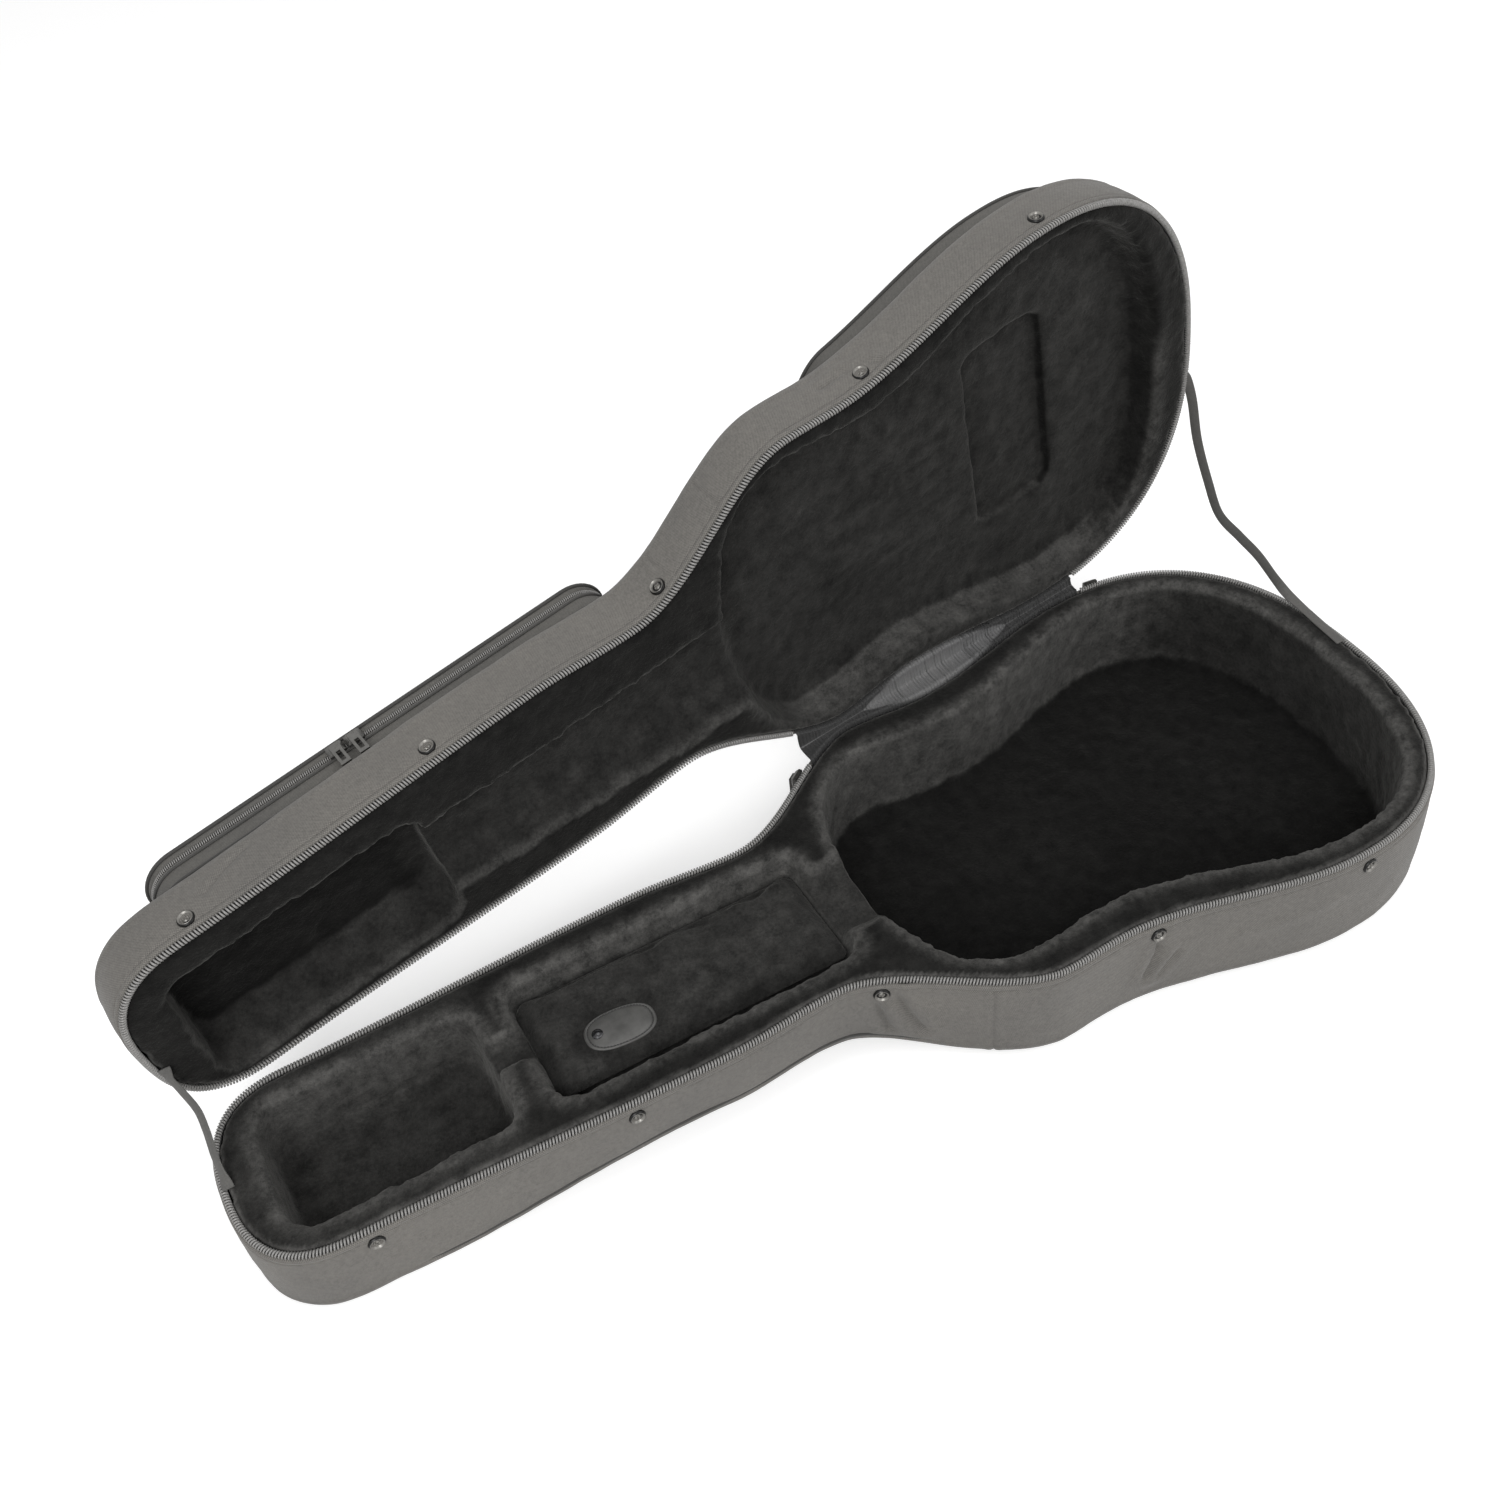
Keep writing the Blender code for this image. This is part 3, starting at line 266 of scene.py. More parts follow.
def weave(name, colour, pitch, roughness, contrast=0.25, bump=0.25):
    """Woven nylon: warp and weft threads along the weave map, with slight fading and dust."""
    made, tree, bsdf = shader(name, colour, roughness, sheen=0.1, sheen_roughness=0.5)
    uv = node(tree, "ShaderNodeUVMap", uv_map="weave").outputs["UV"]
    split = node(tree, "ShaderNodeSeparateXYZ", {"Vector": uv})
    warp, weft = [math_node(tree, "SINE", math_node(tree, "MULTIPLY", split.outputs[k], 2 * math.pi / pitch))
                  for k in (0, 1)]
    up = math_node(tree, "ADD", weighted(tree, (math_node(tree, "MULTIPLY", warp, weft), 0.5)), 0.5)
    place = coordinates(tree)
    fine, slub = speckle(tree, place, 900.0, 2.0, 0.6), speckle(tree, place, 300.0, 2.0, 0.7)
    threads = weighted(tree, (up, 0.40), (fine, 0.30), (slub, 0.30))
    base = ramp(tree, threads, 0.32, 0.68, *darker_lighter(colour, contrast))
    worn = ramp(tree, speckle(tree, place, 9.0, 4.0, 0.6), 0.35, 0.65, (0.90, 0.90, 0.90), (1.08, 1.07, 1.05))
    tint = node(tree, "ShaderNodeMix", {0: 1.0, 6: base, 7: worn}, data_type="RGBA", blend_type="MULTIPLY")
    tree.links.new(tint.outputs[2], bsdf.inputs["Base Color"])
    relief(tree, bsdf, threads, bump, pitch * 0.35)
    return made


def plush_material(name, dark, light, sheen):
    """Short pile in soft mottled tufts."""
    made, tree, bsdf = shader(name, dark, 0.95, sheen=sheen, sheen_roughness=0.4,
                              sheen_tint=(0.85, 0.84, 0.80), specular=0.1)
    place = coordinates(tree)
    patches, tufts, hairs = [speckle(tree, place, *grain) for grain in ((70.0, 4.0, 0.6), (330.0, 3.0, 0.7),
                                                                        (1000.0, 2.0, 0.6))]
    pile = weighted(tree, (tufts, 0.65), (hairs, 0.35))
    mix = weighted(tree, (patches, 0.45), (pile, 0.55))
    tree.links.new(ramp(tree, mix, 0.38, 0.62, dark, light), bsdf.inputs["Base Color"])
    relief(tree, bsdf, pile, 0.7, 0.0018)
    return made


def plain(name, colour, roughness, metallic=0.0, grain=300.0, bump=0.08):
    """A moulded or metal surface with faint grain and uneven polish."""
    made, tree, bsdf = shader(name, colour, roughness, metallic)
    speck = speckle(tree, coordinates(tree), grain, 3.0, 0.6)
    tree.links.new(ramp(tree, speck, 0.3, 0.7, *darker_lighter(colour, 0.12)), bsdf.inputs["Base Color"])
    polish = math_node(tree, "ADD", math_node(tree, "MULTIPLY", speck, 0.2), roughness - 0.1)
    tree.links.new(polish, bsdf.inputs["Roughness"])
    relief(tree, bsdf, speck, bump, 0.0004)
    return made


def leather_material(name, colour):
    made, tree, bsdf = shader(name, colour, 0.5)
    place = coordinates(tree)
    cells = node(tree, "ShaderNodeTexVoronoi", {"Vector": place, "Scale": 900.0}, feature="DISTANCE_TO_EDGE")
    relief(tree, bsdf, cells.outputs["Distance"], 0.35, 0.0004)
    dark, light = tuple(c * 0.7 for c in colour), tuple(c * 1.5 for c in colour)
    wear = ramp(tree, speckle(tree, place, 60.0, 4.0, 0.6), 0.3, 0.7, dark, light)
    tree.links.new(wear, bsdf.inputs["Base Color"])
    return made


def with_painted_light(made):
    """Makes a material's colour follow a point attribute that carries painted light and shade, and random
    mottling where there is any, so that it can vary from place to place.
    """
    tree = made.node_tree
    socket = tree.nodes["Principled BSDF"].inputs["Base Color"]
    painted_light_and_tone = node(tree, "ShaderNodeAttribute", attribute_name="painted_light_and_tone").outputs["Fac"]
    scaled = node(tree, "ShaderNodeVectorMath", {0: socket.links[0].from_socket, "Scale": painted_light_and_tone},
                  operation="SCALE")
    tree.links.new(scaled.outputs["Vector"], socket)
    return made


NYLON = weave("nylon_weave", (0.118, 0.112, 0.103), 0.0017, 0.72, 0.45, 0.7)
# Pocket cloth: the nylon painted darker, as painted shade.
POCKET = weave("pocket_weave", (0.078, 0.075, 0.069), 0.0017, 0.72, 0.40, 0.7)
WEB = weave("web_tape", (0.085, 0.083, 0.079), 0.0014, 0.75, 0.35, 0.5)
# The hinge web, the plush and the washers take painted light and shade from a point attribute.
HINGE_WEB = with_painted_light(weave("hinge_web", (0.130, 0.130, 0.132), 0.0022, 0.70, 0.20, 0.5))
CORD = weave("piping_cloth", (0.034, 0.033, 0.031), 0.0011, 0.72, 0.2, 0.3)
PLUSH = with_painted_light(plush_material("plush_pile", (0.015, 0.0148, 0.0142), (0.043, 0.042, 0.040), 0.15))
TAPE = weave("zip_tape", (0.020, 0.020, 0.020), 0.0012, 0.8, 0.25, 0.4)
COIL = plain("zip_coil", (0.235, 0.230, 0.222), 0.28, 0.0, 500.0)
NICKEL = plain("dark_nickel", (0.140, 0.137, 0.130), 0.30, 0.8, 400.0)
WASHER = with_painted_light(plain("washer_metal", (0.085, 0.082, 0.076), 0.36, 0.5, 400.0))
GRIP = plain("grip_rubber", (0.030, 0.030, 0.031), 0.6, 0.0, 700.0, 0.3)
LEATHER = leather_material("tab_leather", (0.062, 0.061, 0.058))
THREAD = plain("tab_thread", (0.020, 0.020, 0.021), 0.7, 0.0, 900.0)
SNAP = plain("snap_black", (0.05, 0.05, 0.052), 0.2, 0.8, 300.0)


# Mesh makers, all in the drawing of the closed case
def in_scene(name, data):
    made = bpy.data.objects.new(name, data)
    bpy.context.scene.collection.objects.link(made)
    return made


def mesh_object(name, verts, faces, finish, matrix, uv=None):
    mesh = bpy.data.meshes.new(name)
    mesh.from_pydata([tuple(v) for v in verts], [], faces)
    mesh.materials.append(finish)
    if uv is not None:
        layer = mesh.uv_layers.new(name="weave")
        index = np.empty(len(mesh.loops), int)
        mesh.loops.foreach_get("vertex_index", index)
        layer.data.foreach_set("uv", np.asarray(uv, np.float32)[index].ravel())
    mesh.transform(matrix)
    mesh.shade_smooth()
    return in_scene(name, mesh)


def grid_faces(rows, columns, closed_rows=False, start=0):
    """Quads over a grid of vertices stored row by row."""
    out = []
    for r in range(rows - 1):
        a = start + r * columns
        for c in range(columns if closed_rows else columns - 1):
            d = (c + 1) % columns
            out.append((a + c, a + d, a + columns + d, a + columns + c))
    return out


def tube(path, radius, sides, ring=False, up=(0, 0, 1)):
    """Vertices, faces and weave map of a round tube along a path, which may close in a ring."""
    path = np.asarray(path, float)
    along = np.roll(path, -1, 0) - np.roll(path, 1, 0) if ring else np.gradient(path, axis=0)
    along /= np.linalg.norm(along, axis=1)[:, None]
    side = np.cross(along, np.asarray(up, float))
    side /= np.linalg.norm(side, axis=1)[:, None]
    top = np.cross(side, along)
    turn = 2 * math.pi * np.arange(sides) / sides
    radius = np.broadcast_to(np.asarray(radius, float), len(path))[:, None, None]
    section = side[:, None] * np.cos(turn)[:, None] + top[:, None] * np.sin(turn)[:, None]
    verts = (path[:, None] + radius * section).reshape(-1, 3)
    faces = [f[::-1] for f in grid_faces(len(path), sides, True)]
    last = (len(path) - 1) * sides
    if ring:
        faces += [(last + (c + 1) % sides, last + c, c, (c + 1) % sides) for c in range(sides)]
    else:
        faces += [tuple(range(sides)), tuple(reversed(range(last, last + sides)))]
    uv = np.column_stack([np.repeat(length_along(path), sides), np.tile(turn, len(path)) * radius.mean()])
    return verts, faces, uv


def scatter(template, faces, origins, axes):
    """Copies of a template, one per origin, with its x, y, z along the given axes."""
    template, count = np.asarray(template, float), len(origins)
    verts = origins[:, None] + sum(template[None, :, k, None] * axes[k][:, None] for k in range(3))
    size = len(template)
    out = [tuple(i + n * size for i in f) for n in range(count) for f in faces]
    return verts.reshape(-1, 3), out


def teeth(template, faces, points, normals, height, up):
    """Copies of a coil's tooth along a run, with x along it, y inward and z up or down."""
    along = level(np.column_stack([normals[:, 1], -normals[:, 0]]), 0.0)
    upward = np.tile(np.array([0.0, 0, up]), (len(points), 1))
    return scatter(template, faces, level(points, height), (along, level(normals, 0.0), upward))


def level(points, z):
    return np.column_stack([points, np.broadcast_to(z, len(points))])


def capped(verts, count, across, lift=lambda x, y: 0.0):
    """All vertices and faces of a shell of mirrored rings, its last one closed with strips from side to side."""
    first, half = len(verts) - count, count // 2
    faces = grid_faces(len(verts) // count, count, True)
    new, previous = [], None
    for k in range(1, half):
        a, b = verts[first + k], verts[first + count - k]
        row = [first + k]
        for j in range(1, across):
            p = a + (b - a) * j / across
            row.append(len(verts) + len(new))
            new.append((p[0], p[1], p[2] + lift(p[0], p[1])))
        row.append(first + count - k)
        if previous is None:
            faces += [(first, row[j], row[j + 1]) for j in range(across)]
        else:
            faces += [(previous[j], row[j], row[j + 1], previous[j + 1]) for j in range(across)]
        previous = row
    faces += [(previous[j + 1], previous[j], first + half) for j in range(across)]
    return np.vstack([verts, new]), faces


def weave_map(points, down, cap):
    """Weave map of a shell: length round its rings and down them, then the cap's own x and y."""
    run = length_along(closed(points))[:-1]
    return np.vstack([np.column_stack([run, np.full(len(run), d)]) for d in down] + [cap[:, :2]])


def seam_share(half, x):
    """Where the lower seam shows: only along the neck of the base."""
    x = np.asarray(x)
    return np.zeros(x.shape) if half.name == "lid" else within(x, 0.10, 0.560, 0.03)


def shell_profile(half, points):
    """Rows of (inset, height) from the hem under the coil down over the band, the seam and the round edge."""
    depth = half.depth(points[:, 0])
    seam = seam_share(half, points[:, 0])
    band = 0.0108
    low = depth - EDGE_HEIGHT
    rows = [(0.0024, 0.0068), (0.0012, 0.0059), (0.0004, 0.0062), (0.0000, 0.0072), (0.0001, 0.0084),
            (0.0010, 0.0090), (0.0021, 0.0096), (0.0004, 0.0104)]
    for t in (0.02, 0.05, 0.09, 0.14, 0.19, 0.24, 0.29, 0.34, 0.39, 0.44, 0.49, 0.54, 0.59, 0.64, 0.69, 0.74,
              0.79, 0.84, 0.89, 0.94, 0.98, 1.0):
        puff = -0.0009 * math.sin(math.pi * min(1, t * 1.05)) ** 0.6 + 0.0002
        rows.append((puff, band + (low - 0.0022 - band) * t))
    rows += [(0.0002 + seam * 0.0012, low - 0.0012), (0.0002 + seam * 0.0016, low + 0.0004),
             (seam * 0.0009, low + 0.0016), (0.0003, low + 0.0028)]
    for k in range(2, 8):
        angle = math.pi / 2 * k / 7
        rows.append((EDGE_ROUND * (1 - math.cos(angle)), depth - EDGE_ROUND * (1 - math.sin(angle))))
    return rows


# Creases of the near wall as runs of (x, depth below the rim), then how deep and how wide each is
BASE_CREASES = (
    (((0.508, 0.022), (0.513, 0.041), (0.518, 0.062)), 0.0034, 0.0030),
    (((0.5215, 0.012), (0.529, 0.033), (0.540, 0.063)), 0.0040, 0.0034),
    (((0.7306, 0.014), (0.7335, 0.038), (0.7236, 0.066)), 0.0038, 0.0032),
    (((0.752, 0.046), (0.742, 0.059), (0.7345, 0.070)), 0.0024, 0.0026),
    (((0.588, 0.011), (0.588, 0.100)), 0.0010, 0.0012),
)
LID_CREASES = (
    (((0.108, 0.026), (0.129, 0.035), (0.148, 0.040)), 0.0019, 0.0022),
    (((0.700, 0.028), (0.721, 0.029), (0.749, 0.0125)), 0.0022, 0.0026),
    (((0.5235, 0.011), (0.5235, 0.044)), 0.0009, 0.0012),
    (((0.580, 0.011), (0.580, 0.044)), 0.0009, 0.0012),
)
BASE_SWELL = (((0.806, 0.0475), (0.857, 0.046), (0.892, 0.040)), 0.0011, 0.006)


def distance_to(run, x, z):
    """Distance from each (x, z) to a run of places."""
    best = np.full(len(x), 9.0)
    for (x0, z0), (x1, z1) in zip(run, run[1:]):
        dx, dz = x1 - x0, z1 - z0
        t = np.clip(((x - x0) * dx + (z - z0) * dz) / (dx * dx + dz * dz), 0, 1)
        best = np.minimum(best, np.hypot(x - x0 - t * dx, z - z0 - t * dz))
    return best


def wall_dents(half, height, xs, near):
    """How far the near wall is pushed in: creases with a soft bulge on either side, and sewn joints."""
    out = np.zeros_like(xs)
    for run, deep, wide in BASE_CREASES if half.name == "base" else LID_CREASES:
        d = distance_to(run, xs, height)
        out += deep * np.exp(-(d / wide) ** 2) - 0.45 * deep * np.exp(-((d - 3.0 * wide) / (1.8 * wide)) ** 2)
    if half.name == "base":
        run, high, wide = BASE_SWELL
        out -= high * np.exp(-(distance_to(run, xs, height) / wide) ** 2)
    calm = np.ones_like(xs)
    for x in WASHER_X:
        calm *= 1 - np.exp(-(((xs - x) ** 2 + (height - WASHER_DROP) ** 2) / CALM_RADIUS ** 2) ** 2)
    return np.where(near, out * calm, 0)


def nylon_shell(half):
    points = RING
    count = len(points)
    near = points[:, 1] < 0
    rows = []
    for amount, height in shell_profile(half, points):
        height = np.broadcast_to(height, count)
        amount = np.broadcast_to(amount, count) + wall_dents(half, height, points[:, 0], near)
        rows.append(level(inset(points, amount), half.sign * height))
    down = np.cumsum([0.0] + [np.mean(np.linalg.norm(b - a, axis=1)) for a, b in zip(rows, rows[1:])])
    verts = np.concatenate(rows)
    uneven = fractal(verts, 0.09, 3.0 if half.name == "lid" else 0.0) * 0.0010
    uneven += fractal(verts, 0.022, 7.0, 2) * 0.00035
    normal = np.tile(inward(points), (len(rows), 1))
    fade = np.repeat(np.array([0.0] * 3 + [0.4] * 5 + [1.0] * (len(rows) - 8)), count)
    verts[:, :2] += normal * (uneven * fade)[:, None]
    lift = 0.0016 if half.name == "base" else 0.0035

    def crown(x, y):
        room = np.clip((float(case_half(x)) - EDGE_ROUND - abs(y)) / 0.05, 0, 1)
        ends = np.clip(min(x - EDGE_ROUND, LENGTH - EDGE_ROUND - x) / 0.05, 0, 1)
        return lift * float(ease(room) * ease(ends))
    verts, faces = capped(verts, count, 14, crown)
    uv = weave_map(points, down, verts[len(rows) * count:])
    if half.sign > 0:
        faces = [f[::-1] for f in faces]
    made = mesh_object(f"{half.name}_nylon_shell", verts, faces, NYLON, half.matrix, uv)
    thick = made.modifiers.new("cloth", "SOLIDIFY")
    thick.thickness, thick.offset = 0.0012, -1
    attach(made, half.name)
    panel = "bottom_panel" if half.name == "base" else "top_panel"
    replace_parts(made, f"{half.name}_side_band", f"{half.name}_{panel}")
    return made


def piping(half):
    """Corded seam: proud of the cloth along the neck of the base, and covered by it elsewhere."""
    points = RING[::2]
    z = half.sign * (half.depth(points[:, 0]) - EDGE_HEIGHT - 0.0001)
    sunk = 0.0030 - 0.0032 * seam_share(half, points[:, 0])
    verts, faces, uv = tube(level(inset(points, sunk), z), 0.0014, 8, True)
    made = mesh_object(f"{half.name}_piping_cord", verts, faces, CORD, half.matrix, uv)
    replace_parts(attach(made, half.name), f"{half.name}_piping")
    return made


def zip_run(count):
    """Points and inward normals along the zip, from the hinge's head end round the case to its tail end."""
    start, end = (np.argmin(np.where(RING[:, 1] >= 0, abs(RING[:, 0] - x), 9)) for x in (ZIP_HEAD_X, ZIP_TAIL_X))
    order = (start + np.arange((end - start) % len(RING) + 1)) % len(RING)
    points, normals = RING[order], inward(RING)[order]
    run = length_along(points)
    goal = np.linspace(0, run[-1], count) if count else np.arange(0.0013, run[-1], ZIP_PITCH)
    return at(goal, run, points), at(goal, run, normals)


def zip_parts(half):
    """Half of the opened coil zip: its teeth, and the tape that they are sewn to."""
    s = half.sign
    points, normals = zip_run(0)
    normals /= np.linalg.norm(normals, axis=1)[:, None]
    outer = ((-0.55, 0.0012, 0.0056), (-0.45, 0.0007, 0.0040), (-0.28, 0.0007, 0.0024), (-0.05, 0.0017, 0.0013),
             (0.15, 0.0034, 0.0011), (0.35, 0.0047, 0.0020), (0.50, 0.0047, 0.0038), (0.55, 0.0040, 0.0054))
    path = np.array([(a * 0.0018, i, z) for a, i, z in outer])
    radius = np.array([0.0006, 0.0007, 0.0008, 0.0009, 0.0010, 0.0010, 0.0008, 0.0006])
    template, faces, _ = tube(path, radius, 6, up=(1, 0, 0))
    template[:, 2] = np.maximum(template[:, 2], 0.0002)
    verts, faces = teeth(template, faces, points, normals, 0.0, s)
    if s > 0:
        faces = [f[::-1] for f in faces]
    coil = mesh_object(f"{half.name}_zip_coil", verts, faces, COIL, half.matrix)
    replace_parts(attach(coil, half.name), f"{half.name}_zip_chain")
    points, normals = zip_run(900)
    section = ((0.0040, 0.0022), (0.0020, 0.0030), (0.0019, 0.0058), (0.0034, 0.0080), (0.0048, 0.0080),
               (0.0048, 0.0030))
    rows = [level(points + normals * amount, s * height) for amount, height in section]
    uv = [np.column_stack([length_along(points), np.full(len(points), k * 0.004)]) for k in range(len(rows))]
    faces = grid_faces(len(rows) + 1, len(points))
    tape = mesh_object(f"{half.name}_zip_tape_cloth", np.concatenate(rows + rows[:1]), faces, TAPE, half.matrix,
                       np.concatenate(uv + uv[:1]))
    mend(tape, join=True)
    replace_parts(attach(tape, half.name), f"{half.name}_zip_tape")


def mend(obj, join=False):
    """Turns all faces outward, after joining doubled vertices and filling small holes if join is set."""
    data = bmesh.new()
    data.from_mesh(obj.data)
    if join:
        bmesh.ops.remove_doubles(data, verts=data.verts, dist=1e-6)
        bmesh.ops.holes_fill(data, edges=[e for e in data.edges if e.is_boundary], sides=8)
    bmesh.ops.recalc_face_normals(data, faces=data.faces)
    data.to_mesh(obj.data)
    data.free()


def wall_place(x, side):
    """Point of the outline at x, on its +y or -y side, and its outward normal."""
    i = int(np.argmin(np.where(RING[:, 1] * side > 0, abs(RING[:, 0] - x), 9)))
    return RING[i], -inward(RING)[i]


def washer(half, number):
    """A cupped finishing washer with a cross-slotted screw."""
    point, out = wall_place(WASHER_X[number], -1)
    radii = (.0006, .0012, .0017, .0021, .0024, .0028, .0034, .0040, .0044, .0050, .0056, .0060, .0066, .0070,
             .0070)
    rise = (.0014, .00138, .00132, .0012, .0009, .0005, .0002, .0002, .0008, .0017, .0022, .0019, .0011, .0004,
            -.0006)
    turns = 40
    slot_reach, slot_half, slot_depth = 0.0026, 0.00062, 0.0011
    verts = [(0, 0, 0.0004)]
    for r, h in zip(radii, rise):
        for k in range(turns):
            angle = 2 * math.pi * k / turns
            x, y = r * math.cos(angle), r * math.sin(angle)
            verts.append((x, y, h - slot_depth if r < slot_reach and min(abs(x), abs(y)) < slot_half else h))
    faces = [(0, 1 + k, 1 + (k + 1) % turns) for k in range(turns)]
    faces += [f[::-1] for f in grid_faces(len(radii), turns, True, 1)]
    outward = Vector((out[0], out[1], 0))
    turn = outward.to_track_quat("Z", "Y").to_matrix().to_4x4() @ Matrix.Rotation(0.5 + number * 1.1, 4, "Z")
    seat = Matrix.Translation(Vector((*point, half.sign * WASHER_DROP)) + outward * WASHER_PROUD) @ turn
    made = mesh_object(f"{half.name}_rivet_{number + 1}", verts, faces, WASHER, half.matrix @ seat)
    made.data.set_sharp_from_angle(angle=math.radians(40))
    # Painted light in the washer's colour: painted highlights on the screw and cup, painted shadow in the groove
    # and at the edge.
    screw, groove, cup, edge = (2.6, 5), (0.04, 3), (2.4, 3), (0.05, 4)
    painted_light_levels = [painted_light_and_tone for painted_light_and_tone, rings in (screw, groove, cup, edge) for _ in range(rings)]
    set_painted_light(made, np.concatenate([[0.3], np.repeat(painted_light_levels, turns)]))
    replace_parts(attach(made, half.name), f"{half.name}_washer_{number + 1}")
    return made


# Plush linings
def solid(name, rings):
    """A closed solid over equal rings, used for cutting and remeshing only."""
    count = len(rings[0])
    faces = grid_faces(len(rings), count, True)
    faces += [tuple(reversed(range(count))), tuple(range((len(rings) - 1) * count, len(rings) * count))]
    made = mesh_object(name, np.concatenate(rings), faces, PLUSH, Matrix.Identity(4))
    mend(made)
    return made


def well(points, top, floor, rounding=0.010, draft=0.003):
    """A cutter with a rounded lip at the rim, soft floor edges and walls that lean out a little."""
    sign = 1 if np.mean(floor) > np.mean(top) else -1
    floor = np.broadcast_to(floor, len(points))
    rings = [level(inset(points, -draft - 0.0050), top)]
    for flare, down in ((0.0050, 0.0004), (0.0032, 0.0012), (0.0014, 0.0032), (0.0003, 0.0062)):
        rings.append(level(inset(points, -draft - flare), sign * down))
    for a in (0.0, 0.35, 0.7, 1.0):
        angle = a * math.pi / 2
        rings.append(level(inset(points, rounding * (1 - math.cos(angle))),
                           floor - sign * rounding * (1 - math.sin(angle))))
    return solid("cutter", rings)


def slanted_well(points, half_width, low, top_y, floor_y, floor):
    """A lid cutter: upright on the zip's side, with a broad padded slope on the hinge's side."""
    rings = []
    for share, down in ((-0.10, -0.02), (-0.10, 0.0004), (0.0, 0.004), (0.20, 0.012), (0.55, floor * 0.60),
                        (0.85, floor * 0.88), (1.12, floor)):
        x, y = points[:, 0], points[:, 1] / half_width
        wide = top_y(x) + (floor_y(x) - top_y(x)) * share
        narrow = low + 0.004 * max(0, -10 * share) - 0.006 * max(0.0, share - 0.85) / 0.27
        rings.append(level(np.column_stack([x, np.where(y > 0, y * wide, y * narrow)]), down))
    return solid("cutter", rings)


def apply_all(obj):
    bpy.context.view_layer.update()
    graph = bpy.context.evaluated_depsgraph_get()
    mesh = bpy.data.meshes.new_from_object(obj.evaluated_get(graph))
    obj.modifiers.clear()
    obj.data = mesh
    return obj


def cut(target, cutters, operation="DIFFERENCE"):
    for other in cutters:
        step = target.modifiers.new("cut", "BOOLEAN")
        step.operation, step.object, step.solver = operation, other, "EXACT"
    apply_all(target)
    for other in cutters:
        bpy.data.objects.remove(other)


def remesh(obj, voxel, smooth, factor=0.5):
    step = obj.modifiers.new("remesh", "REMESH")
    step.mode, step.voxel_size, step.use_smooth_shade = "VOXEL", voxel, True
    step = obj.modifiers.new("smooth", "SMOOTH")
    step.factor, step.iterations = factor, smooth
    return apply_all(obj)


def body_loop(upper, waist, lower, x1, count=160):
    def half(x):
        middle = steps(x, (0.643, upper), (0.715, waist), (0.920, lower))
        return middle * arc((0.643 - x) / 0.086, 2.5) * arc((x - 0.920) / (x1 - 0.920), 2.5)
    return loop(half, 0.557, x1, count)


def read_mesh(obj):
    """Positions and normals of an object's vertices."""
    out = []
    for kind in ("co", "normal"):
        values = np.empty(len(obj.data.vertices) * 3)
        obj.data.vertices.foreach_get(kind, values)
        out.append(values.reshape(-1, 3))
    return out


def write_mesh(obj, co):
    obj.data.vertices.foreach_set("co", co.ravel())
    obj.data.update()


def set_painted_light(obj, values):
    """How light the surface is painted at each vertex: painted light and shade, with random mottling where there
    is any.
    """
    layer = obj.data.attributes.new("painted_light_and_tone", "FLOAT", "POINT")
    layer.data.foreach_set("value", np.asarray(values, np.float32))


def rim_edges(half):
    """Outlines of the wells where they meet the rim."""
    if half.name == "base":
        wells = (box_loop(*HEAD_WELL, 160), box_loop(*COMPARTMENT_WELL, 200), body_loop(*BASE_BODY, 400))
    else:
        wells = (body_loop(*LID_BODY, 400),)
    return [inset(edge, -0.008) for edge in wells]


def near_edge(half, co, reach):
    """1 at the edge of a well and 0 away from it, measured in plan."""
    best = np.full(len(co), 9.0)
    for outline in rim_edges(half):
        for p in outline:
            np.minimum(best, (co[:, 0] - p[0]) ** 2 + (co[:, 1] - p[1]) ** 2, out=best)
    return np.exp(-best / reach ** 2)


def lining_cutters(half):
    above = -half.sign * 0.02
    if half.name == "base":
        body = body_loop(*BASE_BODY)
        saddle = box_loop(0.190, 0.272, 0.012, 0.010, 40) + (0, 0.006)
        heel = box_loop(0.500, 0.604, 0.034, 0.012, 50)
        return [well(box_loop(*HEAD_WELL, 80), above, -HEAD_FLOOR),
                well(box_loop(*COMPARTMENT_WELL, 90), above, -0.0235),
                well(body, above, BODY_FLOOR_FOAM - base_line(body[:, 0]), 0.012),
                well(saddle, above, -0.0165, 0.007, 0.001), well(heel, above, -0.0145, 0.010, 0.003)]
    head, neck = box_loop(0.041, 0.264, 0.055, 0.018, 90), box_loop(0.235, 0.580, 0.036, 0.010, 90)
    return [slanted_well(head, 0.055, 0.052, lambda x: 0.074 + 0 * x, lambda x: 0.046 + 0 * x, 0.040),
            slanted_well(neck, 0.036, 0.034, lambda x: np.clip(0.046 + 0.10 * (x - 0.262), 0.046, 0.070),
                         lambda x: 0.016 + 0.085 * (x - 0.28), 0.027),
            well(body_loop(*LID_BODY), above, 0.034, 0.012),
            well(box_loop(0.845, 0.932, 0.098, 0.014, 60), above, 0.0460, 0.004)]


def pressed(co):
    """Faint lengthwise streaks where the guitar's top has pressed the pile of the lid."""
    x, y = co[:, 0], co[:, 1]
    place = ease((0.070 - abs(y - 0.015)) / 0.025) * within(x, 0.66, 0.845, 0.03)
    return place * (co[:, 2] > 0.028) * fractal(co * (0.22, 2.6, 0.5), 0.030, 23.0, 2)


